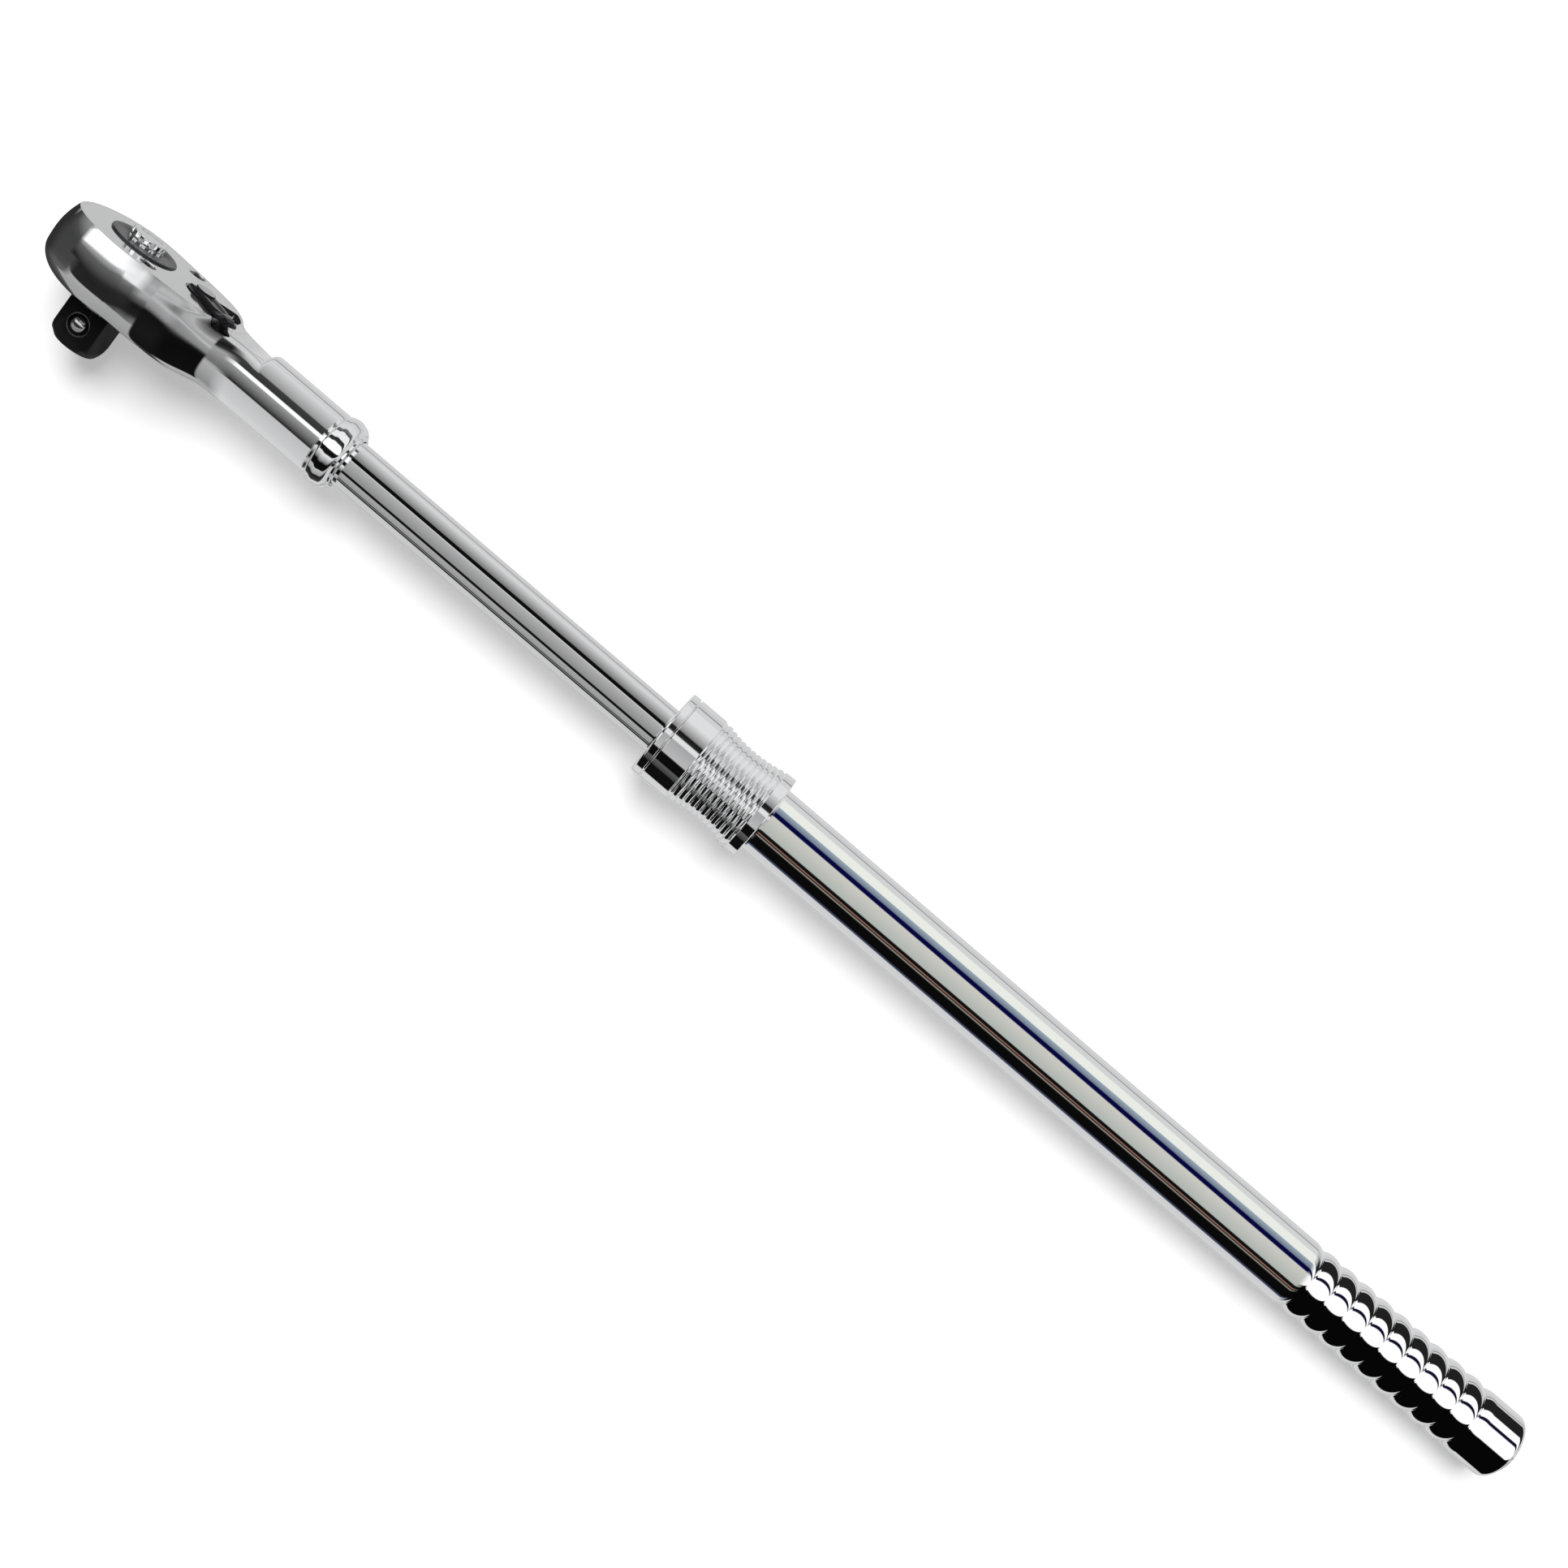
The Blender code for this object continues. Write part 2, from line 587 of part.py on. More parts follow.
# ---------------------------------------------------------------- inner shaft
def build_inner_shaft():
    profile = [
        (SHAFT_START, 0.0), (SHAFT_START, SHAFT_R - 1.0), (SHAFT_START + 1.0, SHAFT_R),
        (SHAFT_END - 1.0, SHAFT_R), (SHAFT_END, SHAFT_R - 1.0), (SHAFT_END, 8.4),
        (SHAFT_END + 9.0, 8.4), (SHAFT_END + 9.0, 0.0),
    ]
    shaft = add_part(turned(profile, 32), "inner_shaft", chrome, head_frame, (0, 0, AXIS_Z))
    keyway = box(
        FERRULE_END + 4.0, SHAFT_END - 6.0, SHAFT_R - KEYWAY_DEPTH, SHAFT_R + 3,
        AXIS_Z - KEYWAY_WIDTH / 2, AXIS_Z + KEYWAY_WIDTH / 2,
    )
    tool(keyway, "keyway", shaft)
    notch = [(7.6, 0.0), (7.6, 1.6), (9.8, 2.9), (9.8, 0.0)]
    for i in range(NOTCH_COUNT):
        x = LOCK_BALL_X + (i - NOTCHES_BEFORE_BALL) * NOTCH_PITCH
        tool(turned(notch, 14, "Y", (x, 0, AXIS_Z)), "length_notch_%02d" % i, shaft)
    drill(shaft, "cross_pin_seat", CROSS_PIN_X, 0, CROSS_PIN_R + GAP, 16, 18.0, AXIS_Z)
    tool(turned(rod_profile(SHAFT_END - 12, SHAFT_END + 12, 3.4), 16), "end_thread", shaft)


def build_shaft_pin():
    """Upright pin that holds the shaft in the ferrule."""
    top = AXIS_Z - 0.4
    profile = [
        (23.4, 0.0), (23.4, CROSS_PIN_R - 0.4), (23.8, CROSS_PIN_R), (top - 0.4, CROSS_PIN_R),
        (top, CROSS_PIN_R - 0.4), (top, 0.0),
    ]
    add_part(
        turned_z(profile, 16, CROSS_PIN_X), "shaft_pin", spring_steel, head_frame,
        (CROSS_PIN_X, 0, 30.0),
    )


def build_rear_guide():
    """Ring on the shaft's rear end that runs in the tube's bore."""
    profile = [
        (SHAFT_END + 0.4, 8.7), (SHAFT_END + 0.4, 12.4), (SHAFT_END + 0.8, 12.8),
        (SHAFT_END + 8.6, 12.8), (SHAFT_END + 9.0, 12.4), (SHAFT_END + 9.0, 8.7),
    ]
    add_part(
        turned(profile, 24, closed=True), "rear_guide", bronze, head_frame, (SHAFT_END, 0, AXIS_Z),
    )


def build_guide_screw():
    profile = [
        (SHAFT_END - 10.0, 0.0), (SHAFT_END - 10.0, 3.1), (SHAFT_END + 9.4, 3.1),
        (SHAFT_END + 9.4, 10.4), (SHAFT_END + 11.0, 10.4), (SHAFT_END + 12.2, 6.4),
        (SHAFT_END + 12.2, 0.0),
    ]
    add_part(
        turned(profile, 24), "guide_screw", spring_steel, head_frame, (SHAFT_END + 10, 0, AXIS_Z),
    )


# ---------------------------------------------------------------- handle tube
def build_handle_tube():
    """Tube with a beaded grip near its rear end."""
    bead_r = TUBE_R - 0.02
    profile = [
        (TUBE_START, TUBE_BORE_R), (TUBE_START, TUBE_R - 0.4), (TUBE_START + 0.4, TUBE_R),
        (GRIP_START - 6.0, TUBE_R), (GRIP_START - 2.6, TUBE_R - 0.35),
        (GRIP_START - 1.0, GROOVE_R),
    ]
    for i in range(BEAD_COUNT):
        bead = GRIP_START + BEAD_PITCH * i
        profile += [
            (bead + 1.0, GROOVE_R), (bead + 3.4, bead_r),
            (bead + BEAD_PITCH - 3.4, bead_r), (bead + BEAD_PITCH - 1.0, GROOVE_R),
        ]
    grip_end = GRIP_START + BEAD_PITCH * BEAD_COUNT
    profile += [
        (grip_end + 1.0, GROOVE_R), (grip_end + 2.6, TUBE_R - 0.35), (grip_end + 6.0, TUBE_R),
        (TUBE_END - 2.0, TUBE_R), (TUBE_END - 0.7, 15.3), (TUBE_END, 14.2),
        (TUBE_END, TUBE_BORE_R),
    ]
    add_part(
        turned(profile, 20, closed=True), "handle_tube", chrome, handle_slide,
        (TUBE_START, 0, AXIS_Z),
    )


def build_end_plug():
    profile = [
        (752.0, 0.0), (752.0, 12.3), (752.5, 12.8), (TUBE_END - 0.2, 12.8),
        (TUBE_END + 0.6, 11.9), (TUBE_END + 1.4, 9.0), (TUBE_END + 1.4, 0.0),
    ]
    add_part(turned(profile, 32), "end_plug", chrome, handle_slide, (758.0, 0, AXIS_Z))


def build_nose_bushing():
    """Stepped bush in the tube's front end that carries the lock ball."""
    bore_r = SHAFT_R + GAP
    profile = [
        (292.9, bore_r), (292.9, 13.8), (293.3, 14.2), (297.2, 14.2), (297.6, 14.6),
        (306.4, 14.6), (306.4, 13.6), (329.4, 13.6), (329.4, 12.8), (344.6, 12.8),
        (345.0, 12.4), (345.0, bore_r),
    ]
    bushing = add_part(
        turned(profile, 24, closed=True), "nose_bushing", bronze, handle_slide, (310.0, 0, AXIS_Z),
    )
    hole = rod_profile(6.0, 20.0, LOCK_BALL_R + GAP)
    tool(turned(hole, 16, "Y", (LOCK_BALL_X, 0, AXIS_Z)), "lock_ball_hole", bushing)


def build_nose_cap():
    profile = [
        (292.7, 14.5), (292.7, 19.4), (293.1, 20.2), (293.9, 20.8), (296.3, 20.8),
        (296.5, 20.6), (296.5, 14.5),
    ]
    add_part(
        turned(profile, 28, closed=True), "nose_cap", chrome, handle_slide, (294.5, 0, AXIS_Z),
    )


# ---------------------------------------------------------------- lock collar
def collar_outside():
    """Plain band, a ribbed waist and a rear flange."""
    profile = [
        (COLLAR_START, 20.4), (COLLAR_START + 0.4, 20.8), (311.0, 20.8), (311.3, 20.3),
        (311.9, 20.2),
    ]
    waist_middle = RIB_START + WAIST_HALF_LENGTH
    for i in range(RIB_COUNT):
        x = RIB_START + RIB_PITCH * i
        offset = (x + RIB_PITCH / 2 - waist_middle) / WAIST_HALF_LENGTH
        crest = WAIST_R + WAIST_RISE * offset * offset
        profile += [(x + 0.2, crest - 0.45), (x + 0.9, crest), (x + RIB_PITCH - 0.9, crest)]
    profile += [(343.3, 20.2), (343.6, 20.3), (343.9, 20.9), (348.5, 20.9), (COLLAR_END, 20.4)]
    return profile


def collar_inside():
    """From the rear: a bore over the tube, a spring shoulder and the lock ball's cone."""
    ball_reach = (LOCK_BALL_R + GAP) / math.cos(math.atan(LOCK_SLOPE))
    cone_r = LOCK_BALL_Y + ball_reach - LOCK_SLOPE * (COLLAR_START - LOCK_BALL_X)
    cone_end = 307.0
    return [
        (COLLAR_END, 16.6), (COLLAR_END - 0.4, COLLAR_BORE_R), (SPRING_SHOULDER_X, COLLAR_BORE_R),
        (SPRING_SHOULDER_X, 13.9), (cone_end, 13.9),
        (cone_end, cone_r - LOCK_SLOPE * (cone_end - COLLAR_START)), (COLLAR_START, cone_r),
    ]


def build_lock_collar():
    add_part(
        turned(collar_outside() + collar_inside(), 20, closed=True), "lock_collar", chrome,
        collar_slide, (COLLAR_START, 0, AXIS_Z),
    )


def build_collar_spring():
    end = TUBE_START - GAP
    wire = coil(
        turns=4.5, mean_r=15.0, wire_r=0.7, start=SPRING_SHOULDER_X + GAP, end=end,
        axis="X", centre=(0, 0, AXIS_Z), per_turn=14, sides=5,
    )
    add_part(wire, "collar_spring", spring_steel, handle_slide, (end, 0, AXIS_Z))


def build_lock_ball():
    centre = (LOCK_BALL_X, LOCK_BALL_Y, AXIS_Z)
    add_part(sphere(LOCK_BALL_R, centre, 12, 8), "lock_ball", ball_steel, lock_ball_slide, centre)


build_head_body()
build_cover_plate()
build_cover_screws()
build_thrust_washer()
build_drive_spindle()
build_release_button()
build_release_rod()
build_button_spring()
build_socket_ball()
build_pawl()
build_pawl_pin()
build_reverse_lever()
build_pawl_plunger()
build_pawl_spring()
build_lever_clip()
build_inner_shaft()
build_shaft_pin()
build_rear_guide()
build_guide_screw()
build_handle_tube()
build_end_plug()
build_nose_bushing()
build_nose_cap()
build_lock_collar()
build_collar_spring()
build_lock_ball()
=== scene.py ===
"""Looks for the telescopic reversible breaker bar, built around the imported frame.

Lengths are in millimetres in the frame's axes (+X along the handle, +Z up the drive's axis) and
are scaled to metres when a mesh is made.
"""

import json
import math

import bmesh
import bpy
import numpy as np
from mathutils import Matrix, Vector

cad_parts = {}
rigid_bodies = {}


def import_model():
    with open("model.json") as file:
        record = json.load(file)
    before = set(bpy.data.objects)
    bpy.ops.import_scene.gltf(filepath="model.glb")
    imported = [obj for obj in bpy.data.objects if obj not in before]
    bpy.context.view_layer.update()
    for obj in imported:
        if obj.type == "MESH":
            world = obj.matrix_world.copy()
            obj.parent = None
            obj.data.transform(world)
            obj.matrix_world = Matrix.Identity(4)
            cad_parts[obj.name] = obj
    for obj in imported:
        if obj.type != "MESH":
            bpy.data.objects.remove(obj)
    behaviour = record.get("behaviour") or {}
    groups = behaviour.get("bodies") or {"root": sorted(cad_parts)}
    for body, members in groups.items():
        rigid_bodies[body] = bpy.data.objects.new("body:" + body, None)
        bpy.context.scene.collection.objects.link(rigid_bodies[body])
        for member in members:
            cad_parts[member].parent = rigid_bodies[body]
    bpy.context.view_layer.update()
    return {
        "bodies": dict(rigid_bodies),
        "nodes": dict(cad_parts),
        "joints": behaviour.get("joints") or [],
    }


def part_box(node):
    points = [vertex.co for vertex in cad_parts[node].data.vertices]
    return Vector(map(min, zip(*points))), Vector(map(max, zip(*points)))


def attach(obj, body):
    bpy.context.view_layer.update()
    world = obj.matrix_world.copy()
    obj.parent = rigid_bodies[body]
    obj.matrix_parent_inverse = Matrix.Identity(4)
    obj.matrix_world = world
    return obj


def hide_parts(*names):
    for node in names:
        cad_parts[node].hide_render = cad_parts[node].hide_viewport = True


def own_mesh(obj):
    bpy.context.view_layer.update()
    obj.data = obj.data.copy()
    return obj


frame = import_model()
MM = 0.001
scene = bpy.context.scene


def node_box(name):
    lo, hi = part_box(name)
    return np.array(lo) / MM, np.array(hi) / MM


def joint(name):
    return next(j for j in frame["joints"] if j["name"] == name)


# ------------------------------------------------------------------ places and sizes, from the frame
tube_lo, tube_hi = node_box("handle_tube")
head_lo, head_hi = node_box("head_body")
shaft_lo, shaft_hi = node_box("inner_shaft")
collar_lo, collar_hi = node_box("lock_collar")
cap_lo, cap_hi = node_box("nose_cap")
spindle_lo, spindle_hi = node_box("drive_spindle")
button_lo, button_hi = node_box("release_button")
plug_lo, plug_hi = node_box("end_plug")
ball_lo, ball_hi = node_box("socket_ball")
lever_lo, lever_hi = node_box("reverse_lever")

AX = (tube_lo[2] + tube_hi[2]) / 2           # height of the handle's axis
R_TUBE = (tube_hi[2] - tube_lo[2]) / 2
TUBE_0, TUBE_1 = tube_lo[0], tube_hi[0]
TOP = head_hi[2] if head_hi[2] < 53.0 else node_box("cover_plate")[1][2]
TOP = node_box("cover_plate")[1][2]          # cover face
BOTTOM = 23.0 + (spindle_lo[2])              # underside of the head
DISC_TOP = spindle_hi[2]
R_BUTTON = (button_hi[0] - button_lo[0]) / 2
BUTTON_TOP = button_hi[2]
PIVOT = np.array(joint("lever_swing")["pos_m"]) / MM
BALL = (ball_lo + ball_hi) / 2
BALL_R = (ball_hi[2] - ball_lo[2]) / 2
R_HEAD = min(-head_lo[0], head_hi[1]) - 0.005   # front radius of the head's barrel
R_COLLAR = (collar_hi[2] - collar_lo[2]) / 2


def screw_centre(name):
    lo, hi = node_box(name)
    return (lo + hi) / 2


# ------------------------------------------------------------------ node helpers
class Nodes:
    """Small wrapper that lays out shader nodes."""

    def __init__(self, tree):
        self.t = tree
        self.n = 0

    def add(self, kind, **values):
        node = self.t.nodes.new(kind)
        node.location = (200 * (self.n % 8), -220 * (self.n // 8))
        self.n += 1
        for k, v in values.items():
            setattr(node, k, v)
        return node

    def link(self, a, b):
        self.t.links.new(a, b)

    def put(self, socket, value):
        if isinstance(value, bpy.types.NodeSocket):
            self.link(value, socket)
        else:
            socket.default_value = value

    def math(self, op, a, b=0.0, c=0.0, clamp=False):
        m = self.add("ShaderNodeMath", operation=op, use_clamp=clamp)
        self.put(m.inputs[0], a)
        self.put(m.inputs[1], b)
        self.put(m.inputs[2], c)
        return m.outputs[0]

    def ramp(self, fac, stops, interpolation="LINEAR"):
        r = self.add("ShaderNodeValToRGB")
        r.color_ramp.interpolation = interpolation
        el = r.color_ramp.elements
        while len(el) > 1:
            el.remove(el[-1])
        el[0].position = stops[0][0]
        el[0].color = stops[0][1]
        for p, c in stops[1:]:
            e = el.new(p)
            e.color = c
        self.put(r.inputs["Fac"], fac)
        return r.outputs["Color"]

    def mix(self, fac, a, b):
        m = self.add("ShaderNodeMix", data_type="RGBA")
        self.put(m.inputs[0], fac)
        self.put(m.inputs[6], a)
        self.put(m.inputs[7], b)
        return m.outputs[2]

    def noise(self, vector, scale, detail=2.0, rough=0.5):
        n = self.add("ShaderNodeTexNoise")
        self.put(n.inputs["Vector"], vector)
        n.inputs["Scale"].default_value = scale
        n.inputs["Detail"].default_value = detail
        n.inputs["Roughness"].default_value = rough
        return n.outputs["Fac"]

    def coords_mm(self, stretch=(1.0, 1.0, 1.0)):
        """Object coordinates in millimetres, stretched."""
        tc = self.add("ShaderNodeTexCoord")
        mp = self.add("ShaderNodeMapping")
        self.link(tc.outputs["Object"], mp.inputs["Vector"])
        mp.inputs["Scale"].default_value = [1000.0 * s for s in stretch]
        return mp.outputs["Vector"]

    def bump(self, height, strength, distance=0.00002, normal=None):
        b = self.add("ShaderNodeBump")
        b.inputs["Strength"].default_value = strength
        b.inputs["Distance"].default_value = distance
        self.put(b.inputs["Height"], height)
        if normal is not None:
            self.link(normal, b.inputs["Normal"])
        return b.outputs["Normal"]

    def remap(self, value, a, b):
        """0..1 to a..b."""
        return self.math("MULTIPLY_ADD", value, b - a, a)


def new_material(name):
    m = bpy.data.materials.new(name)
    m.use_nodes = True
    m.node_tree.nodes.clear()
    n = Nodes(m.node_tree)
    out = n.add("ShaderNodeOutputMaterial")
    bsdf = n.add("ShaderNodeBsdfPrincipled")
    n.link(bsdf.outputs[0], out.inputs["Surface"])
    return m, n, bsdf


def lin(v):
    """A display value 0..255 as linear light."""
    v = v / 255.0
    return v / 12.92 if v <= 0.04045 else ((v + 0.055) / 1.055) ** 2.4


def rgb(r, g=None, b=None, gain=1.0):
    if g is None:
        g = b = r
    return (lin(r) * gain, lin(g) * gain, lin(b) * gain, 1.0)


def metal(name, color, rough, rough_spread=0.02, along=(1.0, 1.0, 1.0), grain=30.0, bump=0.02, wear=0.03, smudge=0.06):
    """Plated or bright steel: polishing marks drawn out along `along`, faint smudges and darker specks."""
    m, n, bsdf = new_material(name)
    fine = n.noise(n.coords_mm(along), grain / 10.0, 4.0, 0.6)
    cloud = n.noise(n.coords_mm((0.035, 0.05, 0.05)), 1.0, 3.0, 0.55)
    tone = n.mix(
        n.math("MULTIPLY", cloud, wear * 10, clamp=True),
        (color[0], color[1], color[2], 1.0),
        (color[0] * (1 - wear * 2), color[1] * (1 - wear * 2), color[2] * (1 - wear * 1.6), 1.0),
    )
    n.put(bsdf.inputs["Base Color"], tone)
    bsdf.inputs["Metallic"].default_value = 1.0
    r = n.math("ADD", n.remap(fine, rough - rough_spread, rough + rough_spread), n.math("MULTIPLY", cloud, smudge * rough))
    n.put(bsdf.inputs["Roughness"], n.math("MAXIMUM", r, 0.012))
    n.link(n.bump(fine, bump), bsdf.inputs["Normal"])
    return m


def ring_marks(n, pitch, centre=(0.0, 0.0), axis="Z"):
    """A height that repeats every `pitch` millimetres of radius about an axis: turning marks."""
    tc = n.add("ShaderNodeTexCoord")
    sep = n.add("ShaderNodeSeparateXYZ")
    n.link(tc.outputs["Object"], sep.inputs[0])
    a, b = {"Z": ("X", "Y"), "X": ("Y", "Z")}[axis]
    da = n.math("SUBTRACT", sep.outputs[a], centre[0] * MM)
    db = n.math("SUBTRACT", sep.outputs[b], centre[1] * MM)
    r = n.math("SQRT", n.math("ADD", n.math("MULTIPLY", da, da), n.math("MULTIPLY", db, db)))
    phase = n.math("MULTIPLY", r, 2 * math.pi / (pitch * MM))
    return n.math("MULTIPLY_ADD", n.math("SINE", phase), 0.5, 0.5), r


CHROME = (0.93, 0.935, 0.945)
m_chrome = metal("chrome_polished", CHROME, 0.032, 0.010, (0.25, 1.0, 1.0), 22.0, 0.012)
m_tube = metal("chrome_tube", CHROME, 0.024, 0.008, (0.03, 1.0, 1.0), 26.0, 0.010)
m_collar = metal("chrome_turned", CHROME, 0.030, 0.010, (2.2, 0.3, 0.3), 24.0, 0.012)
m_face = metal("chrome_face", (0.86, 0.865, 0.875), 0.085, 0.03, (0.8, 0.8, 0.8), 30.0, 0.05)
m_steel = metal("steel_bright", (0.60, 0.61, 0.63), 0.24, 0.06, (1.0, 1.0, 1.0), 25.0, 0.06)
m_ball = metal("ball_ground", (0.56, 0.56, 0.58), 0.08, 0.02, (1.0, 1.0, 1.0), 40.0, 0.02)


def black_oxide(name, base, rough, rings=None, ring_strength=0.25, spec=0.45):
    """Satin black oxide over machined steel: faint cloudy tone, fine grain, turning marks on faces."""
    m, n, bsdf = new_material(name)
    cloud = n.noise(n.coords_mm((0.12, 0.12, 0.12)), 1.0, 4.0, 0.6)
    fine = n.noise(n.coords_mm(), 5.0, 3.0, 0.6)
    lo = tuple(v * 0.75 for v in base) + (1.0,)
    hi = tuple(v * 1.35 for v in base) + (1.0,)
    n.put(bsdf.inputs["Base Color"], n.mix(cloud, lo, hi))
    bsdf.inputs["Metallic"].default_value = 0.55
    bsdf.inputs["Specular IOR Level"].default_value = spec
    n.put(bsdf.inputs["Roughness"], n.remap(fine, rough - 0.06, rough + 0.08))
    normal = n.bump(fine, 0.10)
    if rings is not None:
        height, _ = ring_marks(n, *rings)
        normal = n.bump(height, ring_strength, 0.00003, normal)
    n.link(normal, bsdf.inputs["Normal"])
    return m


m_tang = black_oxide("black_oxide_satin", (0.012, 0.012, 0.013), 0.34, spec=0.16)
m_disc = black_oxide("black_oxide_turned", (0.040, 0.041, 0.044), 0.27, (0.60, (0.0, 0.0), "Z"), 0.6)
m_screw = black_oxide("black_oxide_screw", (0.030, 0.030, 0.032), 0.30)
m_lever = black_oxide("black_lever_gloss", (0.014, 0.014, 0.016), 0.22)
m_hidden = black_oxide("black_steel_inner", (0.06, 0.06, 0.062), 0.40)


def spring_material():
    m, n, bsdf = new_material("spring_wire")
    draw = n.noise(n.coords_mm((0.6, 2.0, 2.0)), 4.0, 3.0)
    n.put(bsdf.inputs["Base Color"], n.mix(draw, (0.34, 0.35, 0.37, 1), (0.52, 0.53, 0.55, 1)))
    bsdf.inputs["Metallic"].default_value = 1.0
    n.put(bsdf.inputs["Roughness"], n.remap(draw, 0.2, 0.34))
    n.link(n.bump(draw, 0.15), bsdf.inputs["Normal"])
    return m


def bronze_material():
    m, n, bsdf = new_material("bronze_turned")
    cloud = n.noise(n.coords_mm((0.3, 0.3, 0.3)), 1.0, 4.0)
    n.put(bsdf.inputs["Base Color"], n.mix(cloud, (0.42, 0.27, 0.11, 1), (0.60, 0.42, 0.20, 1)))
    bsdf.inputs["Metallic"].default_value = 1.0
    n.put(bsdf.inputs["Roughness"], n.remap(cloud, 0.22, 0.38))
    marks, _ = ring_marks(n, 0.5, (0.0, AX), "X")
    n.link(n.bump(marks, 0.2), bsdf.inputs["Normal"])
    return m


m_spring = spring_material()
m_bronze = bronze_material()


# ------------------------------------------------------------------ mesh helpers
def mesh_object(name, verts, faces, mat):
    me = bpy.data.meshes.new(name)
    me.from_pydata([tuple(v) for v in np.asarray(verts) * MM], [], faces)
    me.materials.append(mat)
    o = bpy.data.objects.new(name, me)
    scene.collection.objects.link(o)
    return o


def smooth(o, angle=30.0):
    o.data.shade_smooth()
    o.data.set_sharp_from_angle(angle=math.radians(angle))
    return o


def rounded(points, closed=False, step=14.0):
    """A profile with its corners rounded. points lists (a, r, fillet radius). Returns points and the two normals of each span."""
    n = len(points)
    P = [np.array(p[:2], float) for p in points]
    out = []
    for i in range(n):
        f = points[i][2] if len(points[i]) > 2 else 0.0
        if not closed and i in (0, n - 1):
            f = 0.0
        a, b, c = P[i - 1], P[i], P[(i + 1) % n]
        if f <= 0:
            out.append(("point", b))
            continue
        u, v = (a - b), (c - b)
        lu, lv = np.linalg.norm(u), np.linalg.norm(v)
        u, v = u / lu, v / lv
        cosang = float(np.clip(u @ v, -1, 1))
        turn = math.pi - math.acos(cosang)
        if turn < 1e-3:
            out.append(("point", b))
            continue
        t = f * math.tan(turn / 2)
        t = min(t, 0.48 * lu, 0.48 * lv)
        f = t / math.tan(turn / 2)
        s, e = b + u * t, b + v * t
        bis = (u + v) / np.linalg.norm(u + v)
        centre = b + bis * (f / math.cos(turn / 2))
        k = max(2, int(math.ceil(math.degrees(turn) / step)))
        a0 = math.atan2(*(s - centre)[::-1])
        a1 = math.atan2(*(e - centre)[::-1])
        d = (a1 - a0 + math.pi) % (2 * math.pi) - math.pi
        side = 1.0 if d < 0 else -1.0        # convex corners turn clockwise
        arc = [(centre + f * np.array([math.cos(a0 + d * j / k), math.sin(a0 + d * j / k)])) for j in range(k + 1)]
        out.append(("arc", arc, centre, side))
    pts, spans = [], []
    flat = []
    for item in out:
        if item[0] == "point":
            flat.append([item[1]])
        else:
            flat.append(item[1])
    for i, item in enumerate(out):
        seq = flat[i]
        for j, p in enumerate(seq):
            pts.append(p)
        if item[0] == "arc":
            for j in range(len(seq) - 1):
                na = (seq[j] - item[2]) * item[3]
                nb = (seq[j + 1] - item[2]) * item[3]
                spans.append((na / np.linalg.norm(na), nb / np.linalg.norm(nb)))
        if i < len(out) - 1 or closed:
            q = flat[(i + 1) % len(out)][0]
            d = q - seq[-1]
            L = np.linalg.norm(d)
            nn = np.array([-d[1], d[0]]) / max(L, 1e-12)
            spans.append((nn, nn))
    return pts, spans


def lathe(name, points, mat, seg=144, axis="X", centre=(0, 0, None), closed=False, step=14.0, profile=None, normals=True):
    """A turned piece. The profile keeps its material on the right: +a along the outside, -a back along a bore."""
    cx, cy, cz = centre[0], centre[1], (AX if centre[2] is None else centre[2])
    pts, spans = profile if profile is not None else rounded(points, closed, step)
    t = 2 * math.pi * np.arange(seg) / seg
    c, s = np.cos(t), np.sin(t)

    def place(a, r):
        if axis == "X":
            return np.stack([np.full(seg, a) + cx, r * c + cy, r * s + cz], 1)
        if axis == "Z":
            return np.stack([r * c + cx, r * s + cy, np.full(seg, a) + cz], 1)
        return np.stack([r * s + cx, np.full(seg, a) + cy, r * c + cz], 1)

    verts, start, pole = [], [], []
    for a, r in pts:
        start.append(sum(len(v) for v in verts))
        if r < 1e-6:
            pole.append(True)
            verts.append(place(a, 0.0)[:1])
        else:
            pole.append(False)
            verts.append(place(a, r))
    V = np.concatenate(verts)
    faces, fn = [], []

    def direction(nv, j):
        na, nr = nv
        cj, sj = c[j % seg], s[j % seg]
        if axis == "X":
            return (na, nr * cj, nr * sj)
        if axis == "Z":
            return (nr * cj, nr * sj, na)
        return (nr * sj, na, nr * cj)

    n = len(pts)
    for i in range(n if closed else n - 1):
        k = (i + 1) % n
        if pole[i] and pole[k]:
            continue
        na, nb = spans[i]
        for j in range(seg):
            j2 = (j + 1) % seg
            if pole[i]:
                faces.append((start[i], start[k] + j2, start[k] + j))
                fn += [direction(na, j), direction(nb, j2), direction(nb, j)]
            elif pole[k]:
                faces.append((start[i] + j, start[i] + j2, start[k]))
                fn += [direction(na, j), direction(na, j2), direction(nb, j)]
            else:
                faces.append((start[i] + j, start[i] + j2, start[k] + j2, start[k] + j))
                fn += [direction(na, j), direction(na, j2), direction(nb, j2), direction(nb, j)]
    o = mesh_object(name, V, faces, mat)
    if normals:
        o.data.shade_smooth()
        o.data.normals_split_custom_set(fn)
    else:
        smooth(o)
    return o


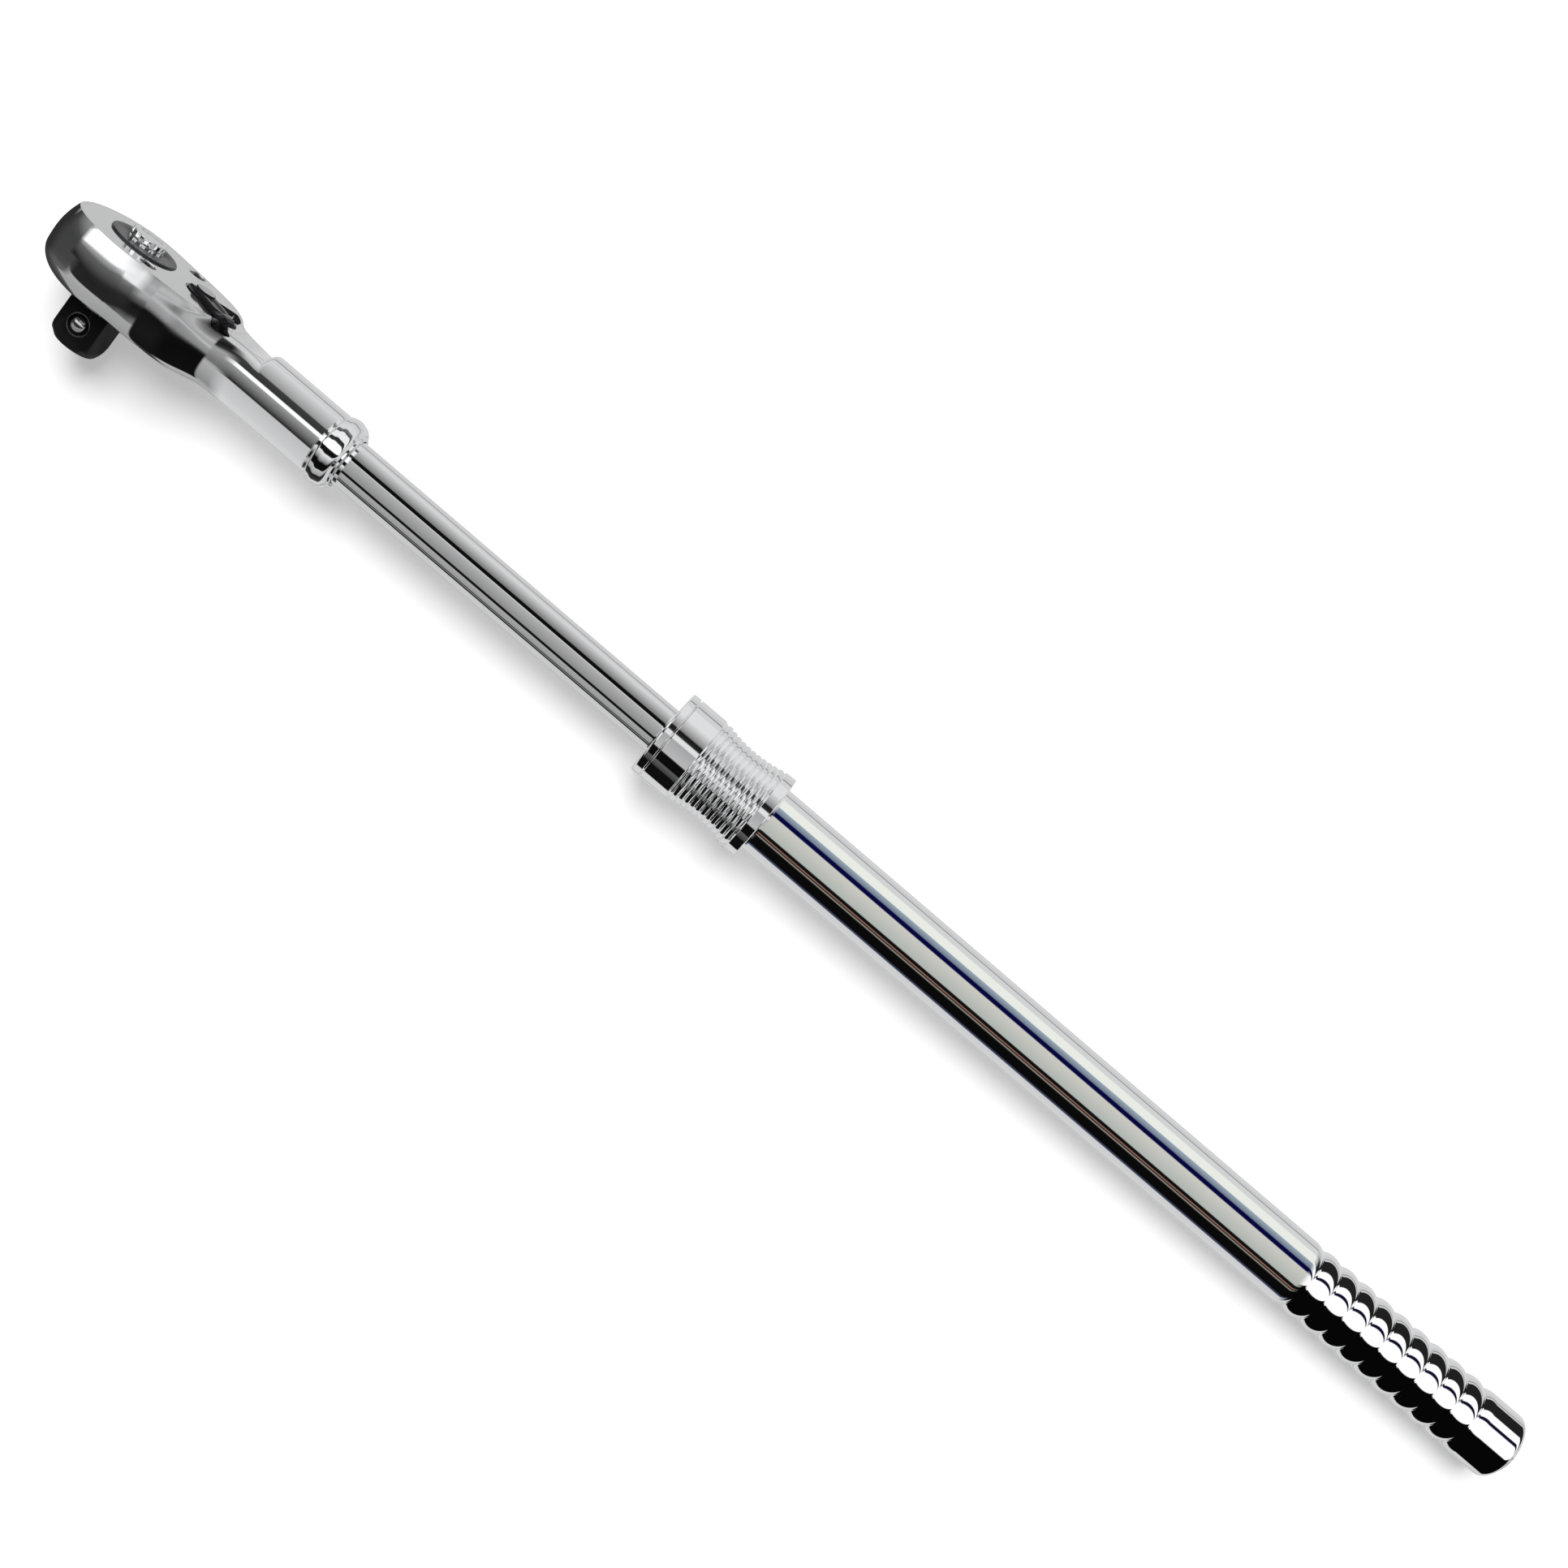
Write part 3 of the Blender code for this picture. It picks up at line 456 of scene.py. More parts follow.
def prism(name, outline, z0, z1, mat, bevel=0.0):
    """An upright solid from an outline of (x, y). A bevel narrows the top edge at 45 degrees."""
    pts = np.array(outline, float)
    n = len(pts)
    rows = [(0.0, z0), (0.0, z1)]
    if bevel > 0:
        rows = [(0.0, z0), (0.0, z1 - bevel), (bevel, z1)]
    nxt, prv = np.roll(pts, -1, 0), np.roll(pts, 1, 0)
    d = nxt - prv
    nor = np.stack([d[:, 1], -d[:, 0]], 1)
    nor /= np.linalg.norm(nor, axis=1)[:, None]
    V = np.concatenate([np.column_stack([pts - nor * off, np.full(n, z)]) for off, z in rows])
    faces = [tuple(range(n - 1, -1, -1))]
    for r in range(len(rows) - 1):
        for i in range(n):
            j = (i + 1) % n
            faces.append((r * n + i, r * n + j, (r + 1) * n + j, (r + 1) * n + i))
    faces.append(tuple((len(rows) - 1) * n + i for i in range(n)))
    return mesh_object(name, V, faces, mat)


def circle(cx, cy, r, n=64):
    a = 2 * math.pi * np.arange(n) / n
    return np.column_stack([cx + r * np.cos(a), cy + r * np.sin(a)])


def pear(r1, r2, x2, n_front=150, n_rear=80):
    beta = math.acos((r1 - r2) / x2)
    a = np.linspace(beta, 2 * math.pi - beta, n_front)
    b = np.linspace(-beta, beta, n_rear)
    return np.concatenate(
        [np.column_stack([r1 * np.cos(a), r1 * np.sin(a)]), np.column_stack([x2 + r2 * np.cos(b), r2 * np.sin(b)])]
    )


def combine(o, tools, operation="DIFFERENCE", solver="MANIFOLD"):
    """Cuts or joins, then keeps the result as o's own mesh. The tools are removed."""
    for t in [o] + tools:
        bm = bmesh.new()
        bm.from_mesh(t.data)
        bmesh.ops.recalc_face_normals(bm, faces=bm.faces)
        bm.to_mesh(t.data)
        bm.free()
    for t in tools:
        m = o.modifiers.new(t.name, "BOOLEAN")
        m.object, m.operation, m.solver = t, operation, solver
    bpy.context.view_layer.update()
    me = bpy.data.meshes.new_from_object(o.evaluated_get(bpy.context.evaluated_depsgraph_get()))
    o.modifiers.clear()
    old = o.data
    mats = [m for m in old.materials]
    o.data = me
    me.materials.clear()
    me.materials.append(mats[0])
    me.polygons.foreach_set("material_index", [0] * len(me.polygons))
    for t in tools:
        bpy.data.objects.remove(t, do_unlink=True)
    return o


def paint(o, mat, test):
    """Gives mat to the faces for which test(centre in mm, normal) holds."""
    o.data.materials.append(mat)
    k = len(o.data.materials) - 1
    for p in o.data.polygons:
        c = p.center
        if test(c.x / MM, c.y / MM, c.z / MM, p.normal):
            p.material_index = k
    return o


def surface_nets(f, lo, hi, h):
    """A closed quad mesh of f = 0, with one vertex in each cell that the surface crosses."""
    lo, hi = np.array(lo, float), np.array(hi, float)
    n = np.ceil((hi - lo) / h).astype(int) + 1
    ax = [lo[i] + h * np.arange(n[i]) for i in range(3)]
    X, Y, Z = np.meshgrid(*ax, indexing="ij")
    F = f(X, Y, Z)
    S = F < 0
    C = np.zeros(tuple(n - 1), np.int8)
    for i in (0, 1):
        for j in (0, 1):
            for k in (0, 1):
                C += S[i:n[0] - 1 + i, j:n[1] - 1 + j, k:n[2] - 1 + k]
    mixed = (C > 0) & (C < 8)
    idx = np.full(mixed.shape, -1, np.int64)
    cells = np.argwhere(mixed)
    idx[mixed] = np.arange(len(cells))
    acc = np.zeros((len(cells), 3))
    cnt = np.zeros(len(cells))
    ci, cj, ck = cells.T
    for axis in range(3):
        others = [a for a in range(3) if a != axis]
        for u in (0, 1):
            for v in (0, 1):
                o0 = [0, 0, 0]
                o0[others[0]], o0[others[1]] = u, v
                o1 = list(o0)
                o1[axis] = 1
                f0 = F[ci + o0[0], cj + o0[1], ck + o0[2]]
                f1 = F[ci + o1[0], cj + o1[1], ck + o1[2]]
                cross = (f0 < 0) != (f1 < 0)
                t = np.where(cross, f0 / np.where(cross, f0 - f1, 1.0), 0.0)
                p = cells + np.array(o0, float)
                p[:, axis] += t
                acc[cross] += p[cross]
                cnt[cross] += 1
    V = lo + h * acc / cnt[:, None]
    faces = []
    for axis in range(3):
        a, b = [(1, 2), (2, 0), (0, 1)][axis]
        sl0 = [slice(None)] * 3
        sl1 = [slice(None)] * 3
        sl0[axis] = slice(0, n[axis] - 1)
        sl1[axis] = slice(1, n[axis])
        ch = S[tuple(sl0)] != S[tuple(sl1)]
        e = np.argwhere(ch)
        ok = (e[:, a] > 0) & (e[:, b] > 0) & (e[:, a] < n[a] - 1) & (e[:, b] < n[b] - 1)
        e = e[ok]
        inside = S[e[:, 0], e[:, 1], e[:, 2]]

        def cell(da, db):
            q = e.copy()
            q[:, a] -= da
            q[:, b] -= db
            return idx[q[:, 0], q[:, 1], q[:, 2]]

        quad = np.stack([cell(1, 1), cell(0, 1), cell(0, 0), cell(1, 0)], 1)
        quad[~inside] = quad[~inside][:, ::-1]
        faces.append(quad)
    return V, np.concatenate(faces)


def gradient(f, P, eps=0.01):
    g = np.zeros_like(P)
    for i in range(3):
        d = np.zeros(3)
        d[i] = eps
        A, B = P + d, P - d
        g[:, i] = (f(A[:, 0], A[:, 1], A[:, 2]) - f(B[:, 0], B[:, 1], B[:, 2])) / (2 * eps)
    return g


def project(f, V, rounds=5, cap=0.3):
    for _ in range(rounds):
        v = f(V[:, 0], V[:, 1], V[:, 2])
        g = gradient(f, V)
        step = -(v / np.maximum((g * g).sum(1), 1e-6))[:, None] * g
        L = np.linalg.norm(step, axis=1)
        step *= np.minimum(1.0, cap / np.maximum(L, 1e-9))[:, None]
        V = V + step
    return V


def from_field(name, f, lo, hi, h, mat):
    V, Q = surface_nets(f, lo, hi, h)
    V = project(f, V)
    return mesh_object(name, V, [tuple(q) for q in Q.tolist()], mat)


def field_normals(o, f, tol=0.02, extra=None):
    """True normals of the field where the mesh lies on it, and plain face normals elsewhere."""
    me = o.data
    me.shade_smooth()
    co = np.zeros(len(me.vertices) * 3)
    me.vertices.foreach_get("co", co)
    co = co.reshape(-1, 3) / MM
    v = f(co[:, 0], co[:, 1], co[:, 2])
    g = gradient(f, co)
    g /= np.maximum(np.linalg.norm(g, axis=1), 1e-9)[:, None]
    li = np.zeros(len(me.loops), np.int64)
    me.loops.foreach_get("vertex_index", li)
    pn = np.zeros(len(me.polygons) * 3)
    me.polygons.foreach_get("normal", pn)
    pn = pn.reshape(-1, 3)
    tot = np.zeros(len(me.polygons), np.int64)
    me.polygons.foreach_get("loop_total", tot)
    face_of = np.repeat(np.arange(len(tot)), tot)
    N = pn[face_of].copy()
    on = (np.abs(v[li]) < tol) & ((g[li] * pn[face_of]).sum(1) > 0.70)
    N[on] = g[li][on]
    if extra is not None:
        extra(co[li], pn[face_of], N)
    me.normals_split_custom_set([tuple(x) for x in N])
    return o


def smin(a, b, k):
    h = np.clip(0.5 + 0.5 * (b - a) / k, 0, 1)
    return b * (1 - h) + a * h - k * h * (1 - h)


def rmax(a, b, r):
    u, v = np.maximum(a + r, 0), np.maximum(b + r, 0)
    return np.minimum(-r, np.maximum(a, b)) + np.sqrt(u * u + v * v)


def sstep(x, a, b):
    t = np.clip((x - a) / (b - a), 0, 1)
    return t * t * (3 - 2 * t)


# ------------------------------------------------------------------ head: barrel, neck and ferrule
X2, R1, R2 = 26.0, R_HEAD, 26.0
FER = 15.45
FER_END = 120.0


def pear_field(x, y):
    b = (R1 - R2) / X2
    a = math.sqrt(1 - b * b)
    yy = np.abs(y)
    k = -b * yy + a * x
    d = a * yy + b * x - R1
    d = np.where(k < 0, np.hypot(x, yy) - R1, d)
    return np.where(k > a * X2, np.hypot(x - X2, yy) - R2, d)


def face_height(x):
    """Cover face: flat, falling a little towards the tip."""
    t = np.clip((-6.0 - x) / 25.0, 0, 1)
    return TOP - 1.25 * t**1.6


def face_slope(x):
    t = np.clip((-6.0 - x) / 25.0, 0, 1)
    return 1.25 * 1.6 * t**0.6 / 25.0


def head_field(x, y, z):
    t = sstep(x, 2.0, 30.0)
    dz = z - 37.5
    wf = np.where(dz > 0, -0.0153 * dz * dz, -0.0070 * dz * dz)
    dr = z - 43.5
    wr = np.where(dr > 0, -0.0177 * dr * dr, -0.0045 * dr * dr)
    body = rmax(pear_field(x, y) - (wf * (1 - t) + wr * t), BOTTOM - z, 9.0 - 1.6 * t)
    # neck
    s = np.clip((64.0 - x) / 26.0, 0, 1)
    half = FER + 8.0 * s * s * (3 - 2 * s)
    zz = z - AX
    cyl = (np.sqrt((y / half) ** 2 + (zz / FER) ** 2) - 1) * FER
    u = np.clip((x - 50.0) / 19.0, 0, 1)
    crown = 12.5 - 0.5 * u
    bow = 0.0030 + 0.0125 * np.clip((x - 45.0) / 24.0, 0, 1) ** 1.3
    neck = rmax(cyl, zz - (crown - bow * y * y), 1.5)
    neck = np.maximum(neck, np.maximum(x - 73.0, 16.0 - x))
    k = 7.0 - 3.6 * sstep(z, 44.0, 51.5)
    f = smin(body, neck, k)
    # ferrule and its rolled end
    rr = np.hypot(y, zz)
    fer = rmax(rr - FER, 69.6 - x, 2.8)
    fer = np.maximum(fer, x - 105.0)
    f = np.minimum(f, fer)
    return np.maximum(f, z - 56.0)


def z_cutter(name):
    """Everything above the cover face, over the head only."""
    xs = np.concatenate([[-45.0], np.arange(-34.0, -5.5, 0.5), [56.5]])
    top = face_height(xs)
    n = len(xs)
    V = []
    for yy in (-45.0, 45.0):
        V += [(x, yy, z) for x, z in zip(xs, top)] + [(56.5, yy, 70.0), (-45.0, yy, 70.0)]
    m = n + 2
    faces = [tuple(range(m)), tuple(range(2 * m - 1, m - 1, -1))]
    for i in range(m):
        j = (i + 1) % m
        faces.append((i, m + i, m + j, j))
    return mesh_object(name, V, faces, m_chrome)


def slope_normals(P, FN, N):
    on = (FN[:, 2] > 0.95) & (np.abs(P[:, 2] - face_height(P[:, 0])) < 0.02)
    s = face_slope(P[on][:, 0])
    v = np.column_stack([-s, 0 * s, np.ones_like(s)])
    N[on] = v / np.linalg.norm(v, axis=1)[:, None]


head = from_field("head_shell", head_field, (-34.2, -34.2, 20.6), (106.5, 34.2, 58.0), 0.52, m_chrome)
near, far = screw_centre("cover_screw_near"), screw_centre("cover_screw_far")
GEAR_R = 19.3
PLATE_SEAT = TOP - 4.2
tools = [z_cutter("t_face")]
tools.append(prism("t_plate", pear(R1 - 4.3, R2 - 2.3, X2), PLATE_SEAT, 60, m_chrome))
tools.append(lathe("t_gear", [(29.0, 0), (29.0, GEAR_R), (60, GEAR_R), (60, 0)], m_chrome, 96, "Z", (0, 0, 0)))
tools.append(lathe("t_journal", [(15.0, 0), (15.0, 13.78, 0), (31.0, 13.78), (31.0, 0)], m_chrome, 96, "Z", (0, 0, 0)))
tools.append(prism("t_pocket", [(12, -14.2), (29.6, -14.2), (29.6, 14.2), (12, 14.2)], 29.6, 60, m_chrome))
tools.append(lathe("t_stem", [(33.5, 0), (33.5, 4.3), (60, 4.3), (60, 0)], m_chrome, 40, "Z", (PIVOT[0], PIVOT[1], 0)))
tools.append(lathe("t_clip", [(44.6, 0), (44.6, 6.2), (60, 6.2), (60, 0)], m_chrome, 40, "Z", (PIVOT[0], PIVOT[1], 0)))
for s, c in (("near", near), ("far", far)):
    tools.append(lathe("t_screw_" + s, [(39.0, 0), (39.0, 1.85), (60, 1.85), (60, 0)], m_chrome, 24, "Z", (c[0], c[1], 0)))
tools.append(lathe("t_socket", [(75.6, 0), (75.6, 11.12), (125, 11.12), (125, 0)], m_chrome, 96))
tools.append(lathe("t_crosspin", [(18.0, 0), (18.0, 2.56), (AX, 2.56), (AX, 0)], m_chrome, 32, "Z", (95.0, 0, 0)))
combine(head, tools)
field_normals(head, head_field, extra=slope_normals)
paint(head, m_face, lambda x, y, z, n: n.z > 0.95 and z > TOP - 1.6 and x < 54)
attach(head, "head")
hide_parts("head_body")
bead = lathe(
    "ferrule_bead",
    [(101.0, 11.2), (101.0, FER + 0.012), (108.9, FER + 0.012, 0.25), (109.5, 15.15, 0.3), (110.6, 16.15, 1.6), (114.0, 16.95, 5.0), (118.2, 15.7, 3.2),
     (119.9, 13.75, 0.7), (119.5, 13.15, 0.12), (119.5, 12.95, 0.12), (120.7, 12.75, 0.35), (120.95, 11.5, 0.3), (119.8, 11.2)],
    m_chrome, 176, closed=True, step=9,
)
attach(bead, "head")


# ------------------------------------------------------------------ cover plate
def soften(points, spacing=0.35, rounds=14):
    """Resamples a closed outline and rounds its corners."""
    P = np.array(points, float)
    Q = np.vstack([P, P[:1]])
    L = np.concatenate([[0], np.cumsum(np.linalg.norm(np.diff(Q, axis=0), axis=1))])
    n = int(L[-1] / spacing)
    s = np.linspace(0, L[-1], n, endpoint=False)
    R = np.column_stack([np.interp(s, L, Q[:, 0]), np.interp(s, L, Q[:, 1])])
    for _ in range(rounds):
        R = 0.5 * R + 0.25 * (np.roll(R, 1, 0) + np.roll(R, -1, 0))
    return R


def fan(r_front, r_sweep, half_angle):
    pts = []
    for i in range(41):
        a = math.radians(75 + 210 * i / 40)
        pts.append((PIVOT[0] + r_front * math.cos(a), PIVOT[1] + r_front * math.sin(a)))
    for i in range(41):
        a = math.radians(-half_angle + 2 * half_angle * i / 40)
        pts.append((PIVOT[0] + r_sweep * math.cos(a), PIVOT[1] + r_sweep * math.sin(a)))
    return pts


plate = prism("cover_face", pear(R1 - 4.35, R2 - 2.35, X2), PLATE_SEAT + 0.05, 60, m_face)
tools = [z_cutter("t_face2")]
tools.append(lathe("t_disc", [(40, 0), (40, 15.22), (TOP - 0.25, 15.22), (TOP + 0.05, 15.5), (60, 15.5), (60, 0)], m_face, 128, "Z", (0, 0, 0)))
tools.append(lathe("t_stem2", [(40, 0), (40, 4.2), (60, 4.2), (60, 0)], m_face, 48, "Z", (PIVOT[0], PIVOT[1], 0)))
tools.append(prism("t_recess", soften(fan(8.4, 18.4, 50.0)), TOP - 2.5, 60, m_face))
for s, c in (("near", near), ("far", far)):
    tools.append(
        lathe("t_cs_" + s, [(45, 0), (45, 1.9), (TOP - 2.5, 1.9), (TOP - 0.35, 4.05), (TOP + 1.0, 4.25), (60, 4.25), (60, 0)], m_face, 64, "Z", (c[0], c[1], 0))
    )
combine(plate, tools)
smooth(plate, 25)


def top_normals(o):
    """The cover's own slope on every face that lies in it, thin slivers from the cuts included."""
    me = o.data
    co = np.array([v.co[:] for v in me.vertices]) / MM
    N = np.array([c.vector[:] for c in me.corner_normals])
    flush = np.abs(co[:, 2] - face_height(co[:, 0])) < 0.02
    for q in me.polygons:
        if all(flush[v] for v in q.vertices):
            for k in q.loop_indices:
                v = np.array([-face_slope(co[me.loops[k].vertex_index][:1])[0], 0.0, 1.0])
                N[k] = v / np.linalg.norm(v)
    me.normals_split_custom_set([tuple(v) for v in N])


top_normals(plate)
paint(plate, m_chrome, lambda x, y, z, n: z < TOP - 1.4 or abs(n.z) < 0.5)
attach(plate, "head")
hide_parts("cover_plate")

for s, c in (("near", near), ("far", far)):
    screw = lathe(
        "cover_screw_" + s + "_head",
        [(39.6, 0), (39.6, 1.45, 0.2), (TOP - 2.65, 1.45), (TOP - 0.55, 3.55, 0.25), (TOP - 0.35, 3.6, 0.1), (TOP - 0.35, 0)],
        m_screw, 56, "Z", (c[0], c[1], 0), normals=False,
    )
    a = np.radians(np.arange(6) * 60 + 12)
    hexa = prism("t_hex_" + s, np.column_stack([c[0] + 1.75 * np.cos(a), c[1] + 1.75 * np.sin(a)]), TOP - 2.2, 60, m_screw)
    combine(screw, [hexa])
    smooth(screw, 30)
    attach(screw, "head")
    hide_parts("cover_screw_" + s)

# ------------------------------------------------------------------ spindle: hub, gear and square drive
SQ = 19.05
hub = lathe(
    "spindle",
    [(BOTTOM + 0.3, 0), (BOTTOM + 0.3, 13.7, 0.3), (35.0, 13.7), (38.0, 15.15), (DISC_TOP, 15.15, 0.35), (DISC_TOP, 8.6, 0), (DISC_TOP - 0.25, 8.35), (DISC_TOP - 0.25, 0)],
    m_disc, 144, "Z", (0, 0, 0), normals=False,
)
gear_pts = []
for i in range(24):
    for fr, r in ((0.0, 17.5), (0.42, 18.8), (0.58, 18.8)):
        a = 2 * math.pi * (i + fr) / 24
        gear_pts.append((r * math.cos(a), r * math.sin(a)))
gear = prism("t_gear_add", gear_pts, 29.3, 46.4, m_disc)
h, c_ = SQ / 2, 0.35
square = [(h - c_, -h), (h, -h + c_), (h, h - c_), (h - c_, h), (-h + c_, h), (-h, h - c_), (-h, -h + c_), (-h + c_, -h)]
tang = prism("t_tang", square, 0.0, 26.0, m_tang)
nose = lathe(
    "t_nose",
    [(-0.5, 0), (-0.5, 8.6), (0.0, 9.2, 1.0), (3.2, 12.4, 5.0), (6.8, 13.45, 6.0), (27, 13.5), (27, 0)],
    m_tang, 128, "Z", (0, 0, 0), normals=False, step=8,
)
combine(tang, [nose], "INTERSECT")
combine(hub, [gear, tang], "UNION")
tools = [
    lathe("t_rod", [(1.5, 0), (1.5, 4.6), (60, 4.6), (60, 0)], m_disc, 48, "Z", (0, 0, 0)),
    lathe("t_btn", [(38.0, 0), (38.0, R_BUTTON + 0.12), (60, R_BUTTON + 0.12), (60, 0)], m_disc, 96, "Z", (0, 0, 0)),
    lathe("t_ball", [(-14.0, 0), (-14.0, 4.75), (-h + 0.35, 4.75), (-h + 0.9, BALL_R + 0.15), (0.0, BALL_R + 0.15), (0, 0)], m_disc, 64, "Y", (0, 0, BALL[2])),
]
combine(hub, tools)
smooth(hub, 28)
paint(hub, m_tang, lambda x, y, z, n: z < 30)
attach(hub, "drive")
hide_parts("drive_spindle")

stake = lathe(
    "ball_seat_ring",
    [(-h - 0.03, 4.72, 0.06), (-h + 0.22, 4.72), (-h + 0.22, 5.16), (-h - 0.03, 5.16, 0.06)][::-1],
    m_ball, 72, "Y", (0, 0, BALL[2]), closed=True,
)
bm = bmesh.new()
bm.from_mesh(stake.data)
bmesh.ops.recalc_face_normals(bm, faces=bm.faces)
bm.to_mesh(stake.data)
bm.free()
smooth(stake, 40)
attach(stake, "drive")

ball = lathe(
    "detent_ball",
    None, m_ball, 64, "Y", tuple(BALL),
    profile=(
        [np.array([-BALL_R * math.cos(math.pi * i / 32), BALL_R * math.sin(math.pi * i / 32) if 0 < i < 32 else 0.0]) for i in range(33)],
        [
            (
                np.array([-math.cos(math.pi * i / 32), math.sin(math.pi * i / 32)]),
                np.array([-math.cos(math.pi * (i + 1) / 32), math.sin(math.pi * (i + 1) / 32)]),
            )
            for i in range(32)
        ],
    ),
)
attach(ball, "ball")
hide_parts("socket_ball")

# ------------------------------------------------------------------ quick-release button
R = R_BUTTON
button = lathe(
    "button_cap",
    [(49.0, 0), (49.0, R - 0.02, 0.2), (BUTTON_TOP, R - 0.02, 0.55), (BUTTON_TOP, R - 1.7, 0.4), (BUTTON_TOP - 0.8, R - 2.6, 0.6), (BUTTON_TOP - 1.2, 0)],
    m_chrome, 160, "Z", (0, 0, 0), normals=False, step=10,
)
tools = []
for i in range(12):
    a = 2 * math.pi * (i + 0.5) / 12
    tools.append(
        lathe("t_fl_%02d" % i, [(53.7, 0), (53.7, 1.45, 0.4), (60, 1.45), (60, 0)], m_chrome, 32, "Z", ((R + 0.75) * math.cos(a), (R + 0.75) * math.sin(a), 0))
    )
combine(button, tools)
smooth(button, 32)
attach(button, "button")
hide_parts("release_button")

# ------------------------------------------------------------------ reversing lever
REST = math.radians(-35.0)
CR, SR = math.cos(REST), math.sin(REST)


def lever_field(x, y, z):
    dx, dy = x - PIVOT[0], y - PIVOT[1]
    u = dx * CR + dy * SR
    w = -dx * SR + dy * CR
    rr = np.hypot(dx, dy)
    hub_ = rmax(rr - 7.5, np.abs(z - (TOP - 0.75)) - 1.35, 0.3)
    boss = rmax(rr - 4.45 - 0.12 * (TOP + 2.9 - z), z - (TOP + 2.9), 0.35)
    boss = np.maximum(boss, TOP - 2.0 - z)
    half = np.interp(u, [0, 4, 8, 13, 17, 21, 23, 24.8], [5.2, 5.0, 4.85, 4.7, 4.5, 4.7, 4.6, 3.9])
    ridge = TOP + np.interp(u, [-7.5, -5, 0, 6, 14, 17, 20.5, 22.5, 24.8], [0.6, 1.4, 2.1, 2.4, 2.6, 2.7, 3.25, 3.1, 2.3])
    under = np.interp(u, [0, 15.8, 16.8, 30], [TOP - 2.1, TOP - 2.1, TOP + 0.35, TOP + 0.45])
    aw = np.abs(w)
    side = aw - half
    flat = half * np.interp(u, [0, 15, 19, 30], [0.84, 0.84, 0.42, 0.42])
    k_ = 1.35 / (half - flat)
    slope_ = ((z - ridge) + np.maximum(aw - flat, 0) * k_) / np.sqrt(1 + k_ * k_)
    groove = np.interp(u, [2, 6, 15.5, 17.5], [0, 0.75, 0.75, 0])
    top = z - (ridge - groove * np.exp(-((w / 1.9) ** 4)))
    arm = rmax(rmax(side, slope_, 0.3), top, 0.2)
    arm = rmax(arm, under - z, 0.25)
    arm = rmax(arm, u - 24.6 + 0.05 * w * w, 0.5)
    arm = rmax(arm, np.where(u < 0, rr - 7.2, -9.0), 0.3)
    return smin(np.minimum(arm, hub_), boss, 0.25)


lx0, ly0 = lever_lo[0] - 1.5, lever_lo[1] - 1.5
lx1, ly1 = lever_hi[0] + 1.5, lever_hi[1] + 1.5
lever = from_field("lever_arm", lever_field, (lx0, ly0, TOP - 3.0), (lx1, ly1, TOP + 4.2), 0.2, m_lever)
stem = lathe(
    "t_lever_stem",
    [(34.0, 0), (34.0, 4.0, 0.4), (44.8, 4.0), (44.8, 3.1), (45.9, 3.1), (45.9, 4.0), (TOP - 1.4, 4.0), (TOP - 1.4, 0)],
    m_lever, 48, "Z", (PIVOT[0], PIVOT[1], 0),
)
combine(lever, [stem], "UNION")
back = Matrix.Translation(Vector((PIVOT[0], PIVOT[1], AX)) * MM) @ Matrix.Rotation(REST + math.pi, 4, "Z")
hole = lathe("t_plunger", [(-2.4, 0), (-2.4, 1.6), (9.0, 1.6), (9.0, 0)], m_lever, 32, "X", (0, 0, 0))
hole.data.transform(back)
combine(lever, [hole])
field_normals(lever, lever_field, tol=0.01)
paint(
    lever, m_steel,
    lambda x, y, z, n: z > TOP + 2.6 and math.hypot(x - PIVOT[0], y - PIVOT[1]) < 4.4 and n.z > 0.8,
)
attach(lever, "lever")
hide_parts("reverse_lever")

# ------------------------------------------------------------------ inner shaft
R_SHAFT = (shaft_hi[2] - shaft_lo[2]) / 2
S0, S1 = shaft_lo[0], shaft_hi[0] - 9.0
shaft = lathe(
    "shaft",
    [(S0, 0), (S0, R_SHAFT, 1.0), (S1, R_SHAFT, 0.8), (S1, 8.4), (S1 + 9.0, 8.4, 0.3), (S1 + 9.0, 0)],
    m_tube, 160, normals=False, step=15,
)
key = prism("t_key", [(FER_END + 4, R_SHAFT - 1.5), (S1 - 6, R_SHAFT - 1.5), (S1 - 6, 20), (FER_END + 4, 20)], AX - 3.1, AX + 3.1, m_tube)
lock_c = (np.array(node_box("lock_ball")[0]) + np.array(node_box("lock_ball")[1])) / 2
tools = [key]
for i in range(-4, 7):
    nx = lock_c[0] + 38.0 * i
    if FER_END + 8 < nx < S1 - 12:
        tools.append(lathe("t_notch_%02d" % (i + 4), [(7.6, 0), (7.6, 1.6), (9.8, 2.9), (12.0, 2.9), (12.0, 0)], m_tube, 32, "Y", (nx, 0, AX)))
tools.append(lathe("t_pinseat", [(18.0, 0), (18.0, 2.6), (AX, 2.6), (AX, 0)], m_tube, 32, "Z", (95.0, 0, 0)))
tools.append(lathe("t_thread", [(S1 - 12, 0), (S1 - 12, 3.3), (S1 + 12, 3.3), (S1 + 12, 0)], m_tube, 32))
combine(shaft, tools)
smooth(shaft, 30)
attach(shaft, "head")
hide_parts("inner_shaft")

# ------------------------------------------------------------------ handle tube with rolled beads
BORE = 13.1
PITCH, BEADS = 10.15, 9
G0 = 650.0
RB, RV = 8.5, 1.0                         # bead's and valley's section radii
r_top = R_TUBE - 0.02
rc = r_top - RB
r_valley = rc + math.sqrt((RB + RV) ** 2 - (PITCH / 2) ** 2)


